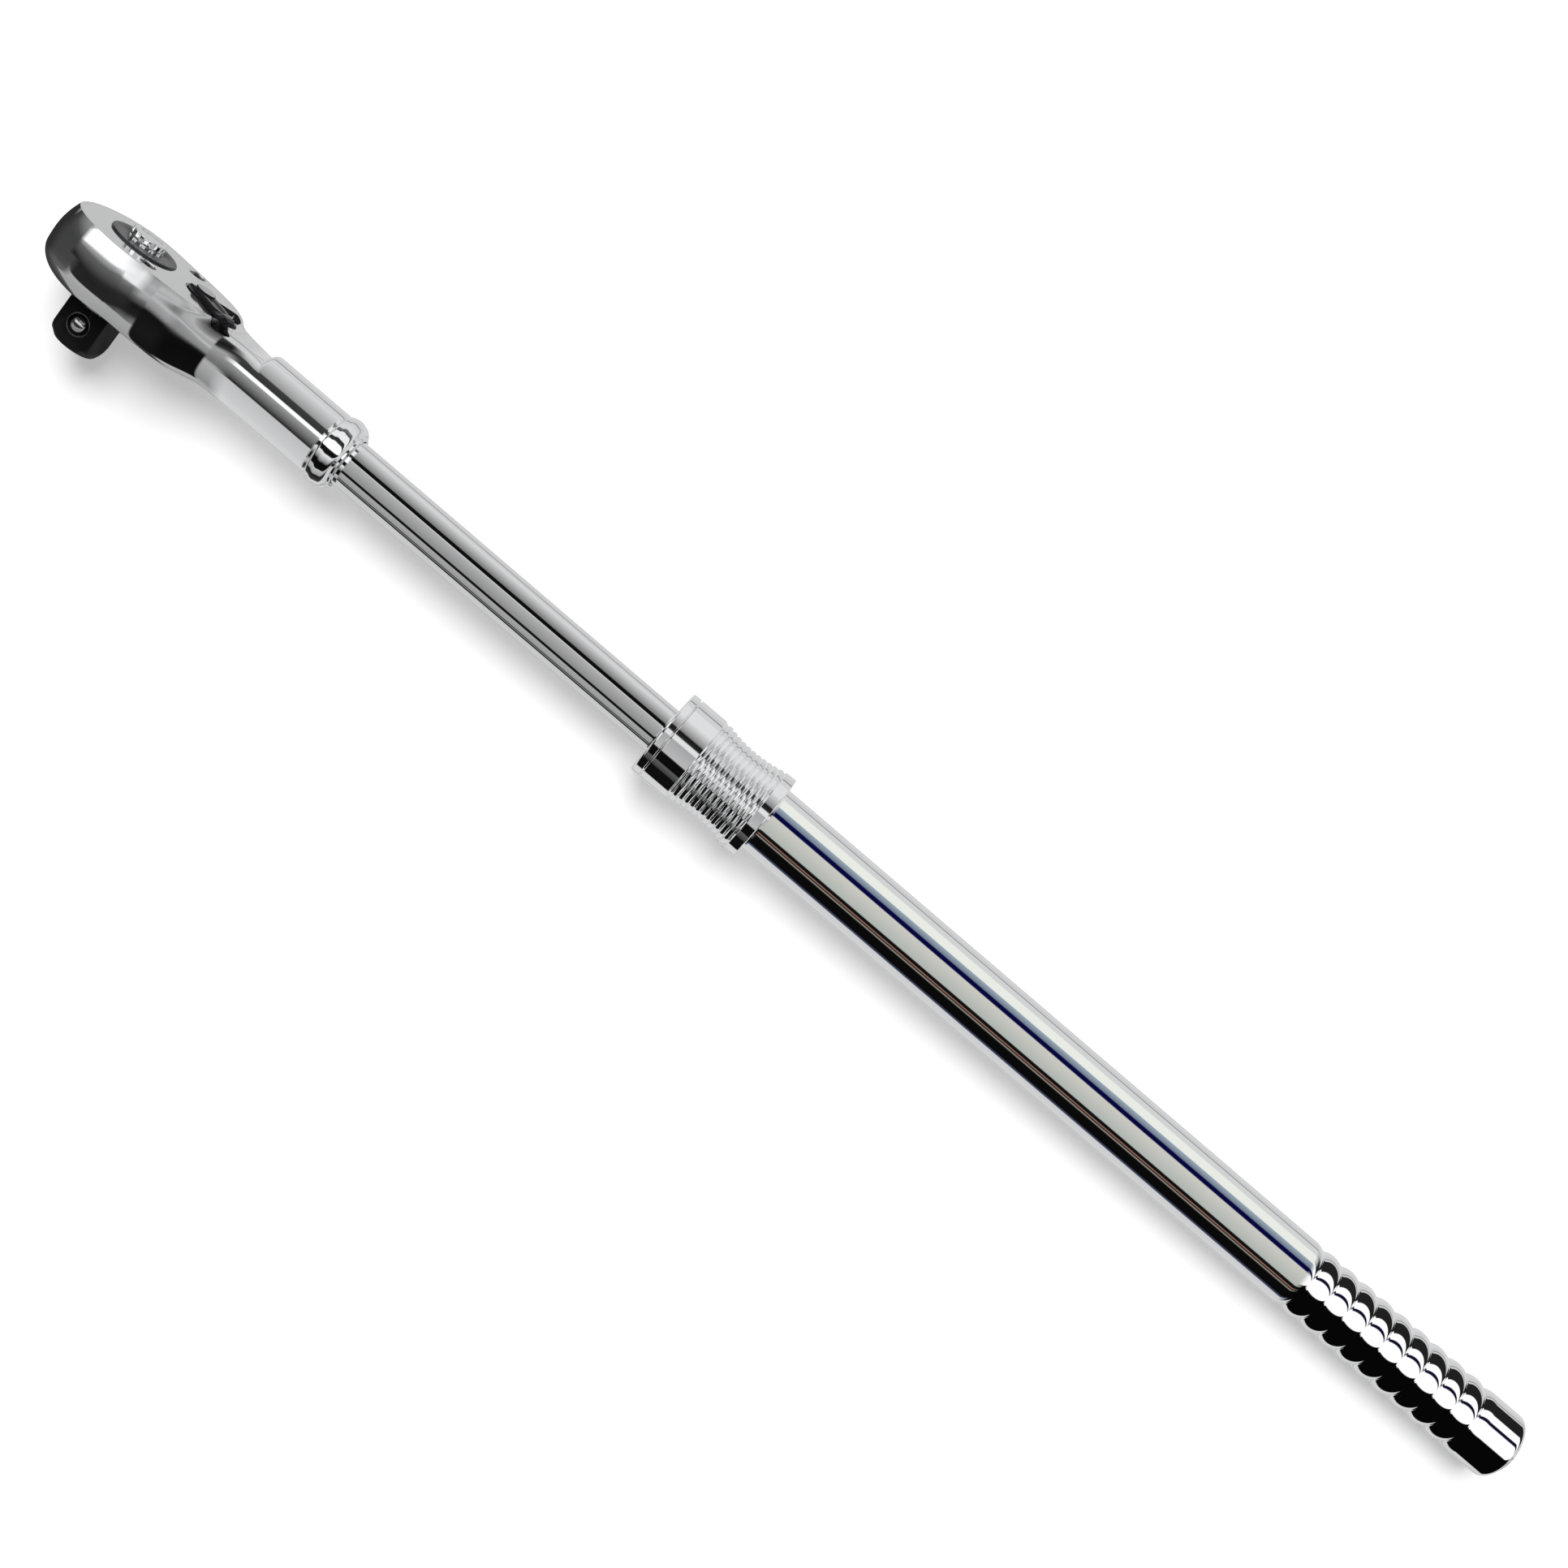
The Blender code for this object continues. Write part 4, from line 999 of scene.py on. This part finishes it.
def arc_points(cx_, cr_, r, a0, a1, n):
    return [np.array([cx_ + r * math.cos(a0 + (a1 - a0) * i / n), cr_ + r * math.sin(a0 + (a1 - a0) * i / n)]) for i in range(n + 1)]


pts, spans = [], []


def extend(seq, normal):
    """Adds a run of points with the normals that normal(point) gives. A join with the run before is smooth."""
    global pts, spans
    seq = [np.array(p, float) for p in seq]
    if pts:
        d = seq[0] - pts[-1]
        L = np.linalg.norm(d)
        if L < 1e-6:
            seq0 = seq[1:]
            prev = seq[0]
        else:
            nn = np.array([-d[1], d[0]]) / L
            spans.append((nn, nn))
            seq0 = seq[1:]
            prev = seq[0]
            pts.append(seq[0])
    else:
        pts.append(seq[0])
        prev = seq[0]
        seq0 = seq[1:]
    for p in seq0:
        spans.append((normal(prev), normal(p)))
        pts.append(p)
        prev = p


def out_of(centre):
    c0 = np.array(centre, float)
    return lambda p: (p - c0) / np.linalg.norm(p - c0)


def into(centre):
    c0 = np.array(centre, float)
    return lambda p: (c0 - p) / np.linalg.norm(p - c0)


tilt = math.asin((PITCH / 2) / (RB + RV))  # angle from the radial direction where bead and valley meet
extend(arc_points(TUBE_0 + 0.4, R_TUBE - 0.4, 0.4, math.pi, math.pi / 2, 4), out_of((TUBE_0 + 0.4, R_TUBE - 0.4)))
# from the plain tube into the first valley
extend(arc_points(G0 - PITCH / 2, rc, RB, math.pi / 2, math.pi / 2 - tilt, 8), out_of((G0 - PITCH / 2, rc)))
for i in range(BEADS + 1):
    g = G0 + PITCH * i
    v = (g, r_valley)
    extend(arc_points(v[0], v[1], RV, -math.pi / 2 - tilt, -math.pi / 2 + tilt, 6), into(v))
    c0 = (g + PITCH / 2, rc)
    if i < BEADS:
        extend(arc_points(c0[0], c0[1], RB, math.pi / 2 + tilt, math.pi / 2 - tilt, 16), out_of(c0))
    else:
        extend(arc_points(c0[0], c0[1], RB, math.pi / 2 + tilt, math.pi / 2, 8), out_of(c0))
END_R = 3.6
extend(arc_points(TUBE_1 - END_R, r_top - END_R, END_R, math.pi / 2, math.radians(8), 12), out_of((TUBE_1 - END_R, r_top - END_R)))
end_r = pts[-1][1]
extend([pts[-1], (TUBE_1 - 0.02, BORE + 0.05)] if False else [pts[-1]], lambda p: np.array([1.0, 0.0]))
pts.append(np.array([TUBE_1 - 0.04, BORE]))
spans.append((np.array([1.0, 0.0]), np.array([1.0, 0.0])))
spans.append((np.array([0.0, -1.0]), np.array([0.0, -1.0])))
pts.append(np.array([TUBE_0, BORE]))
spans.append((np.array([-1.0, 0.0]), np.array([-1.0, 0.0])))
tube = lathe("grip_tube", None, m_tube, 192, closed=True, profile=(pts, spans))
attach(tube, "handle")
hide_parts("handle_tube")

plug = lathe(
    "grip_end_cap",
    [(plug_lo[0], 0), (plug_lo[0], BORE - 0.05, 0.4), (TUBE_1 - 0.5, BORE - 0.05, 0.3), (plug_hi[0], BORE - 1.6, 1.0), (plug_hi[0], 0)],
    m_tube, 128,
)
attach(plug, "handle")
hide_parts("end_plug")

# ------------------------------------------------------------------ nose ring and lock collar
C0, C1 = collar_lo[0], collar_hi[0]
cap = lathe(
    "nose_ring",
    [(cap_lo[0], 14.5), (cap_lo[0], 20.75, 1.1), (C0 - 0.55, 20.75, 0.3), (C0 - 0.55, 19.9, 0), (C0 - 0.12, 19.9), (C0 - 0.12, 14.5)],
    m_collar, 160, closed=True,
)
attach(cap, "handle")
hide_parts("nose_cap")

RIB = 2.79
prof = [(C0, 20.78, 0.35), (310.9, 20.78, 0.35), (311.5, 20.0, 0.3), (312.2, 20.0, 0.3)]
for i in range(11):
    x = 312.4 + RIB * i
    s = (x + RIB / 2 - 327.7) / 15.3
    crest = 18.8 + 1.9 * s * s
    prof += [(x + 0.12, crest - 0.62, 0.12), (x + 0.55, crest - 0.12, 0.5), (x + RIB / 2, crest + 0.02, 1.6), (x + RIB - 0.55, crest - 0.12, 0.5), (x + RIB - 0.12, crest - 0.62, 0.12)]
prof += [(343.3, 20.0, 0.2), (343.75, 20.75, 0.45), (C1, 20.88, 0.5)]
inner = [(C1, R_TUBE + 0.12, 0.5), (311.0, R_TUBE + 0.12), (311.0, 13.9), (307.0, 13.9), (307.0, 14.7), (C0, 17.1)]
collar = lathe("pull_collar", prof + inner, m_collar, 176, closed=True, step=18)
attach(collar, "collar")
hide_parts("lock_collar")

# ------------------------------------------------------------------ coil springs that fill their parts' boxes
def coil_wire(name, node, axis, turns, wire, per_turn=40, sides=12):
    """A round-wire coil that fills the node's box, with flat-cut ends."""
    lo, hi = node_box(node)
    mid = (lo + hi) / 2
    k = 0 if axis == "X" else 2
    side_axis = 1 if axis == "X" else 0
    mean = (hi[side_axis] - lo[side_axis]) / 2 - wire - 0.01
    start, end = lo[k] + 0.02, hi[k] - 0.02
    count = int(turns * per_turn)
    pitch = (end - start - 2 * wire) / turns
    verts, faces = [], []
    for i in range(count + 1):
        t = i / per_turn
        a = 2 * math.pi * t
        radial = np.array([0.0, math.cos(a), math.sin(a)])
        tangent = np.array([pitch / (2 * math.pi), -mean * math.sin(a), mean * math.cos(a)])
        tangent /= np.linalg.norm(tangent)
        side = np.cross(tangent, radial)
        c = np.array([start + wire + pitch * t, 0.0, 0.0]) + radial * mean
        for q in range(sides):
            b = 2 * math.pi * q / sides
            p = c + radial * (wire * math.cos(b)) + side * (wire * math.sin(b))
            verts.append((p[0], mid[1] + p[1], mid[2] + p[2]) if axis == "X" else (mid[0] + p[1], mid[1] + p[2], p[0]))
    for i in range(count):
        for q in range(sides):
            a0, a1 = i * sides + q, i * sides + (q + 1) % sides
            faces.append((a0, a1, a1 + sides, a0 + sides))
    faces.append(tuple(range(sides)))
    faces.append(tuple(count * sides + q for q in reversed(range(sides))))
    return smooth(mesh_object(name, verts, faces, m_spring), 50.0), lo, hi


for name, node, body, axis, turns, wire, pull in (
    ("collar_return_coil", "collar_spring", "handle", "X", 4.5, 0.7, "collar_pull"),
    ("button_return_coil", "button_spring", "drive", "Z", 4.0, 0.6, "button_press"),
):
    coil_o, lo_, hi_ = coil_wire(name, node, axis, turns, wire)
    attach(coil_o, body)
    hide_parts(node)
    k_ = 0 if axis == "X" else 2
    fixed = list((lo_ + hi_) / 2 * MM)
    fixed[k_] = (hi_[k_] if axis == "X" else lo_[k_]) * MM          # the end that rests on its own body
    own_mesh(coil_o)

# ------------------------------------------------------------------ pieces that keep their solid
for n_, mat in {
    "thrust_washer": m_steel, "release_rod": m_steel, "pawl": m_hidden, "pawl_pin": m_steel,
    "pawl_plunger": m_steel, "pawl_spring": m_spring, "lever_clip": m_spring, "shaft_pin": m_steel, "rear_guide": m_bronze,
    "guide_screw": m_steel, "nose_bushing": m_bronze, "lock_ball": m_ball,
}.items():
    o = frame["nodes"][n_]
    o.data.materials.clear()
    o.data.materials.append(mat)

# ------------------------------------------------------------------ camera
E, AL, RHO = math.radians(14.0), math.radians(2.2), math.radians(40.55)
F = np.array([math.sin(AL), math.sqrt(1 - math.sin(AL) ** 2 - math.sin(E) ** 2), -math.sin(E)])
Rp = (np.array([1.0, 0, 0]) - math.sin(AL) * F) / math.cos(AL)
Up = np.cross(Rp, F)
RR = math.cos(RHO) * Rp + math.sin(RHO) * Up
UU = -math.sin(RHO) * Rp + math.cos(RHO) * Up
Z0, FPX = 926.0, 2750.0
C = np.array([0, 0, AX]) - (-811.5 * Z0 / FPX * RR + 630.3 * Z0 / FPX * UU + Z0 * F)
cam = bpy.data.cameras.new("camera")
cam.lens, cam.sensor_width = FPX / 1932 * 36.0, 36.0
cam.clip_start, cam.clip_end = 0.05, 20.0
cam_o = bpy.data.objects.new("camera", cam)
scene.collection.objects.link(cam_o)
cam_o.matrix_world = Matrix(
    ((RR[0], UU[0], -F[0], C[0] * MM), (RR[1], UU[1], -F[1], C[1] * MM), (RR[2], UU[2], -F[2], C[2] * MM), (0, 0, 0, 1))
)
scene.camera = cam_o

# ------------------------------------------------------------------ floor behind the tool, parallel to its axis
VE = math.radians(15.0)
n_floor = Vector((0.0, -math.cos(VE), math.sin(VE)))
up_floor = Vector((0.0, math.sin(VE), math.cos(VE)))
back_head = max(p[1] * math.cos(VE) - p[2] * math.sin(VE) for p in ((0, R_HEAD, AX), (0, 31.0, 47.5), (0, 29.0, TOP)))
back_grip = (R_TUBE + 0.05) - AX * math.sin(VE)
slope_f = (back_head - back_grip) / 700.0
x_dir = Vector((1.0, 0, 0)) + n_floor * slope_f
x_dir.normalize()
nf = (n_floor - x_dir * n_floor.dot(x_dir)).normalized()
base = Vector((0, 0, 0)) - n_floor * (back_head + 0.6)
V = [base * 1.0 + x_dir * a + up_floor * b for a, b in ((-2200, -2200), (3000, -2200), (3000, 2200), (-2200, 2200))]
floor = mesh_object("floor", [tuple(v) for v in V], [(0, 1, 2, 3)], m_chrome)
m_floor = bpy.data.materials.new("floor_white")
m_floor.use_nodes = True
m_floor.node_tree.nodes.clear()
n = Nodes(m_floor.node_tree)
out = n.add("ShaderNodeOutputMaterial")
dif = n.add("ShaderNodeBsdfDiffuse")
glow = n.add("ShaderNodeEmission")
glow.inputs["Color"].default_value = (0.36, 0.36, 0.36, 1)
paper = n.noise(n.coords_mm((0.02, 0.02, 0.02)), 1.0, 2.0)
n.put(dif.inputs["Color"], n.mix(paper, (0.80, 0.80, 0.80, 1), (0.81, 0.81, 0.81, 1)))
tr = n.add("ShaderNodeBsdfTransparent")
lp = n.add("ShaderNodeLightPath")
geo = n.add("ShaderNodeNewGeometry")
mixs = n.add("ShaderNodeMixShader")
n.link(n.math("MAXIMUM", lp.outputs["Is Glossy Ray"], geo.outputs["Backfacing"]), mixs.inputs["Fac"])
adds = n.add("ShaderNodeAddShader")
n.link(dif.outputs[0], adds.inputs[0])
n.link(glow.outputs[0], adds.inputs[1])
n.link(adds.outputs[0], mixs.inputs[1])
n.link(tr.outputs[0], mixs.inputs[2])
n.link(mixs.outputs[0], out.inputs["Surface"])
floor.data.materials.clear()
floor.data.materials.append(m_floor)

# ------------------------------------------------------------------ studio: soft key light and a banded surround
sun = bpy.data.lights.new("key", "SUN")
sun.energy = 2.75
sun.angle = math.radians(38)
sun_o = bpy.data.objects.new("key", sun)
scene.collection.objects.link(sun_o)
toward = (n_floor * 0.92 + up_floor * 0.36 - Vector((1, 0, 0)) * 0.10).normalized()
sun_o.rotation_mode = "QUATERNION"
sun_o.rotation_quaternion = toward.to_track_quat("Z", "Y")
sun_o.visible_glossy = False

WHITE = 262
GAIN = 1 / 0.93


def bands(n, t_psi, table, soft=1.2):
    """table lists (angle, tone) breaks: a tone holds from its angle up to the next one's. A pair of tones fades between them."""
    stops = []
    for i, (a, tone) in enumerate(table):
        b = table[i + 1][0] if i + 1 < len(table) else 180.0
        first, last = tone if isinstance(tone, list) else (tone, tone)
        w = min(soft, (b - a) * 0.3)
        for ang, cc in ((a + (w if i else 0), first), (b - (w if i + 1 < len(table) else 0), last)):
            col = rgb(*cc, gain=GAIN) if isinstance(cc, tuple) else rgb(cc, gain=GAIN)
            stops.append(((ang + 180.0) / 360.0, col))
    return n.ramp(t_psi, stops)


# Angles are the elevation about the handle's axis: 0 towards the viewer's side, 90 straight up.
# The head's surroundings change along it: each row is (x where it holds from, x where it holds to, bands).
HEAD_ROWS = [
    (-999, 6, [(-180, [90, 150]), (-130, [152, 162]), (-100, [158, 168]), (-31, [40, 34]), (-17, [40, 92]), (3, [94, 150]), (11, [160, WHITE]), (17, WHITE), (42, [200, 190]), (100, [188, 196])]),
    (14, 16, [(-180, [120, 150]), (-130, [150, 163]), (-35, [110, 36]), (-27, [36, 42]), (-14, [50, 90]), (-3, [94, 125]), (5, [130, 225]), (12, [235, 232]), (22, [228, 196]), (30, [190, 150]), (44, [150, 184]), (60, [184, 195])]),
    (20, 23.2, [(-180, [120, 150]), (-130, [148, 165]), (-38, [120, 34]), (-29, [30, 22]), (-17, [28, 92]), (-8, [110, 158]), (-2, [160, 172]), (8, [174, 160]), (19, [160, 130]), (27, [120, 56]), (42, [50, 66]), (60, [90, 150]), (78, [170, 195])]),
    (24.2, 33, [(-180, [60, 60]), (-120, [20, 22]), (-100, [20, 24]), (-40, [24, 18]), (-15, [30, 140]), (-6, [150, 168]), (6, [170, 182]), (14, [182, 160]), (22, [140, 52]), (36, [46, 50]), (54, [70, 150]), (76, [170, 190]), (90, [190, 196])]),
    (38, 52.4, [(-180, [170, 172]), (-114, [16, 12]), (-40, [12, 16]), (-19, [28, 60]), (-12, [80, 130]), (-3, [134, 148]), (12, [150, 190]), (24, [170, 156]), (36, [165, 176]), (56, [160, 130]), (68, [120, 50]), (90, [60, 90]), (112, 195)]),
    (53.2, 57, [(-180, [180, 175]), (-125, [170, 140]), (-100, [138, 170]), (-36, [172, 150]), (-22, [110, 116]), (-8, [118, 132]), (6, [136, 150]), (20, [148, 160]), (32, [150, 90]), (42, [50, 24]), (58, [30, 60]), (78, [90, 170]), (92, [200, 195])]),
]
BEAD_B = [(-180, 205), (-112, [60, 20]), (-84, [150, 190]), (-62, 12), (-36, [90, 235]), (-8, 18), (10, WHITE), (38, [60, 30]), (52, 235), (76, [70, 120]), (90, 215), (112, 207)]
FERR_B = [(-180, 208), (-97, [205, 190]), (-29, [12, 150]), (15, WHITE), (27, [52, 60]), (50, [148, 215]), (109, 207), (150, 208)]
SHAFT_B = [(-180, 200), (-86, 14), (-77, 140), (-73, 16), (-68, [150, 165]), (-39, 12), (-27, [138, 176]), (29, 208), (32, 12), (49, [118, 217]), (111, 205)]
COLLAR_B = [(-180, 210), (-100, 15), (-62, [60, 90]), (-45, 12), (-20, [185, 165]), (18, 225), (30, [40, 20]), (44, [130, 215]), (75, 222), (110, 208)]
COLLAR_R = [(-180, 208), (-95, 235), (-70, 20), (-50, 240), (-22, 30), (0, 250), (25, 90), (45, 240), (70, 130), (90, 215)]
COLLAR_L = [(-180, 208), (-95, 15), (-62, 230), (-42, 10), (-14, 245), (12, 25), (30, 250), (60, 140), (85, 220)]
TUBE_B = [(-180, [212, 205]), (-87, (56, 66, 90)), (-79, 10), (-47, 12), (-41, (138, 133, 124)), (-36.5, 18), (-32, (150, 108, 94)), (-29, 14), (-17.6, [(176, 181, 176), (203, 202, 193)]), (38, (8, 8, 62)), (53, [(112, 124, 140), (150, 165, 180)]), (72, (233, 236, 227)), (104, [210, 208])]
GRIP_B = [(-180, 208), (-108, 6), (-6, WHITE), (44, (10, 10, 40)), (55, WHITE), (79, 32), (121, 212)]


def step_at(n, v, edge, width):
    return n.math("MULTIPLY", n.math("SUBTRACT", v, edge - width / 2), 1 / width, clamp=True)


def surround(n, direction, position, gate=1.0):
    """Light arriving from a direction at a place along the tool (x in metres), as the studio's cards give it."""
    sep = n.add("ShaderNodeSeparateXYZ")
    n.link(direction, sep.inputs[0])
    dx, dy, dz = sep.outputs
    psi = n.math("ARCTAN2", dz, n.math("MULTIPLY", dy, -1.0))
    t_psi = n.math("MULTIPLY_ADD", psi, 1 / (2 * math.pi), 0.5)
    col = bands(n, t_psi, HEAD_ROWS[0][2])
    for before, row in zip(HEAD_ROWS, HEAD_ROWS[1:]):
        edge, width = (before[1] + row[0]) / 2 * MM, (row[0] - before[1]) * MM
        col = n.mix(step_at(n, position, edge, width), col, bands(n, t_psi, row[2]))
    for edge, width, table in (
        (0.061, 0.006, FERR_B), (0.1085, 0.001, BEAD_B), (FER_END * MM + 0.0012, 0.0006, SHAFT_B), (cap_lo[0] * MM - 0.001, 0.001, COLLAR_B),
        (C1 * MM + 0.001, 0.001, TUBE_B), ((G0 - 3.5) * MM, 0.003, GRIP_B),
    ):
        here = bands(n, t_psi, table)
        if table is COLLAR_B:
            here = n.mix(step_at(n, dx, 0.32, 0.1), here, bands(n, t_psi, COLLAR_R))
            here = n.mix(step_at(n, n.math("MULTIPLY", dx, -1.0), 0.32, 0.1), here, bands(n, t_psi, COLLAR_L))
        col = n.mix(step_at(n, position, edge, width), col, here)
    col = n.mix(step_at(n, dx, 0.985, 0.02), col, rgb(205, gain=GAIN))
    far_side = n.ramp(t_psi, [((a_ + 180.0) / 360.0, (v, v, v, 1.0)) for a_, v in (
        (-180, 1.0), (-166, 1.0), (-164, 0.5), (-158, 0.46), (-156, 1.0), (-142, 1.0), (-140, 0.6), (-135, 0.6), (-133, 1.0),
        (126, 1.0), (128, 0.5), (132, 0.46), (134, 1.0), (140, 1.0), (141, 0.75), (143, 0.75), (144, 1.0))])
    m = n.add("ShaderNodeMix", data_type="RGBA", blend_type="MULTIPLY")
    m.inputs[0].default_value = 1.0
    n.link(col, m.inputs[6])
    n.link(far_side, m.inputs[7])
    col = m.outputs[2]
    nose = n.ramp(n.math("MULTIPLY_ADD", dz, 0.5, 0.5), [((z_ + 1) / 2, rgb(v, gain=GAIN)) for z_, v in ((-1, 88), (-0.45, 90), (-0.30, 66), (0.0, 64), (0.1, 74), (0.2, 112), (0.3, 138), (0.42, 104), (0.6, 94))])
    nose = n.mix(n.math("MULTIPLY", step_at(n, dy, 0.30, 0.40), 0.62), nose, rgb(26, gain=GAIN))
    minus_x = n.math("MULTIPLY", dx, -1.0)
    minus_z = n.math("MULTIPLY", dz, -1.0)
    minus_p = n.math("MULTIPLY", position, -1.0)
    low = n.math("MULTIPLY", step_at(n, minus_p, 0.0045, 0.003), step_at(n, minus_z, 0.21, 0.06))
    away = n.math("MULTIPLY", step_at(n, minus_p, 0.021, 0.006), n.math("MULTIPLY", step_at(n, minus_z, -0.05, 0.1), step_at(n, dy, 0.0, 0.2)))
    ahead = n.math("MULTIPLY", step_at(n, minus_x, 0.875, 0.07), gate)
    return n.mix(n.math("MAXIMUM", n.math("MAXIMUM", low, away), ahead), col, nose)


world = bpy.data.worlds.new("studio")
scene.world = world
world.use_nodes = True
world.node_tree.nodes.clear()
world.cycles.sampling_method = "NONE"
n = Nodes(world.node_tree)
out = n.add("ShaderNodeOutputWorld")
bg = n.add("ShaderNodeBackground")
n.link(bg.outputs[0], out.inputs["Surface"])
tc = n.add("ShaderNodeTexCoord")
sep = n.add("ShaderNodeSeparateXYZ")
n.link(tc.outputs["Generated"], sep.inputs[0])
far_off = n.math("MULTIPLY_ADD", sep.outputs["X"], 0.4, 0.35)
col = surround(n, tc.outputs["Generated"], far_off)
lp = n.add("ShaderNodeLightPath")
AMBIENT = 0.16
plain = n.mix(lp.outputs["Is Camera Ray"], (AMBIENT, AMBIENT, AMBIENT, 1), (1.0, 1.0, 1.0, 1))
n.put(bg.inputs["Color"], n.mix(lp.outputs["Is Glossy Ray"], plain, col))
bg.inputs["Strength"].default_value = 1.0

# light tent round the tool: only mirror reflections see it
tent = lathe("light_tent", [(-400.0, 0.0), (-400.0, 44.0), (1250.0, 44.0), (1250.0, 0.0)], m_chrome, 96, normals=False)
m_tent = bpy.data.materials.new("light_tent")
m_tent.use_nodes = True
m_tent.node_tree.nodes.clear()
n = Nodes(m_tent.node_tree)
out = n.add("ShaderNodeOutputMaterial")
em = n.add("ShaderNodeEmission")
geo = n.add("ShaderNodeNewGeometry")
neg = n.add("ShaderNodeVectorMath", operation="SCALE")
n.link(geo.outputs["Incoming"], neg.inputs[0])
neg.inputs["Scale"].default_value = -1.0
sep = n.add("ShaderNodeSeparateXYZ")
n.link(neg.outputs[0], sep.inputs[0])
sep_p = n.add("ShaderNodeSeparateXYZ")
n.link(geo.outputs["Position"], sep_p.inputs[0])
perp = n.math("SQRT", n.math("ADD", n.math("MULTIPLY", sep.outputs["Y"], sep.outputs["Y"]), n.math("MULTIPLY", sep.outputs["Z"], sep.outputs["Z"])))
ey = n.math("DIVIDE", sep.outputs["Y"], n.math("MAXIMUM", perp, 0.02))
ez = n.math("DIVIDE", sep.outputs["Z"], n.math("MAXIMUM", perp, 0.02))
lean = n.math("DIVIDE", sep.outputs["X"], n.math("MAXIMUM", perp, 0.02))
along = n.math("ADD", n.math("MULTIPLY", sep_p.outputs["Y"], ey), n.math("MULTIPLY", n.math("SUBTRACT", sep_p.outputs["Z"], AX * MM), ez))


def start_x(radius):
    """Where along the tool a ray began, if it left a surface of this radius (metres)."""
    inside = n.math("SUBTRACT", n.math("MULTIPLY", along, along), n.math("SUBTRACT", 0.044**2, n.math("MULTIPLY", radius, radius)))
    t = n.math("SUBTRACT", along, n.math("SQRT", n.math("MAXIMUM", inside, 0.0)))
    return n.math("SUBTRACT", sep_p.outputs["X"], n.math("MULTIPLY", t, lean))


# the bands ride with the handle, so that it looks the same wherever it is slid
in_handle = n.add("ShaderNodeTexCoord")
in_handle.object = frame["bodies"]["handle"]
sep_h = n.add("ShaderNodeSeparateXYZ")
n.link(in_handle.outputs["Object"], sep_h.inputs[0])
slide = n.math("SUBTRACT", sep_p.outputs["X"], sep_h.outputs["X"])
NOSE_EDGE = cap_lo[0] * MM - 0.001


def at_rest(start):
    """Where this place on the tool is when the handle is at its shown length."""
    back = n.math("SUBTRACT", start, slide)
    on_handle = step_at(n, back, NOSE_EDGE, 0.0001)
    on_shaft = n.math("MULTIPLY", n.math("MINIMUM", start, NOSE_EDGE - 0.0005), n.math("SUBTRACT", 1.0, on_handle))
    return n.math("ADD", n.math("MULTIPLY", back, on_handle), on_shaft)


guess = start_x(0.022)
radius = n.math("MULTIPLY_ADD", step_at(n, guess, 0.049, 0.028), -0.0128, 0.0285)
n.put(em.inputs["Color"], surround(n, neg.outputs[0], at_rest(start_x(radius)), step_at(n, n.math("MULTIPLY", sep_p.outputs["X"], -1.0), 0.02, 0.01)))
n.link(em.outputs[0], out.inputs["Surface"])
tent.data.materials.clear()
tent.data.materials.append(m_tent)
tent.visible_camera = False
tent.visible_diffuse = False
tent.visible_shadow = False
tent.visible_transmission = False
tent.visible_volume_scatter = False
m_tent.cycles.emission_sampling = "NONE"

scene.view_settings.view_transform = "Standard"
scene.view_settings.look = "None"
scene.view_settings.exposure = 0.0
scene.view_settings.gamma = 1.0
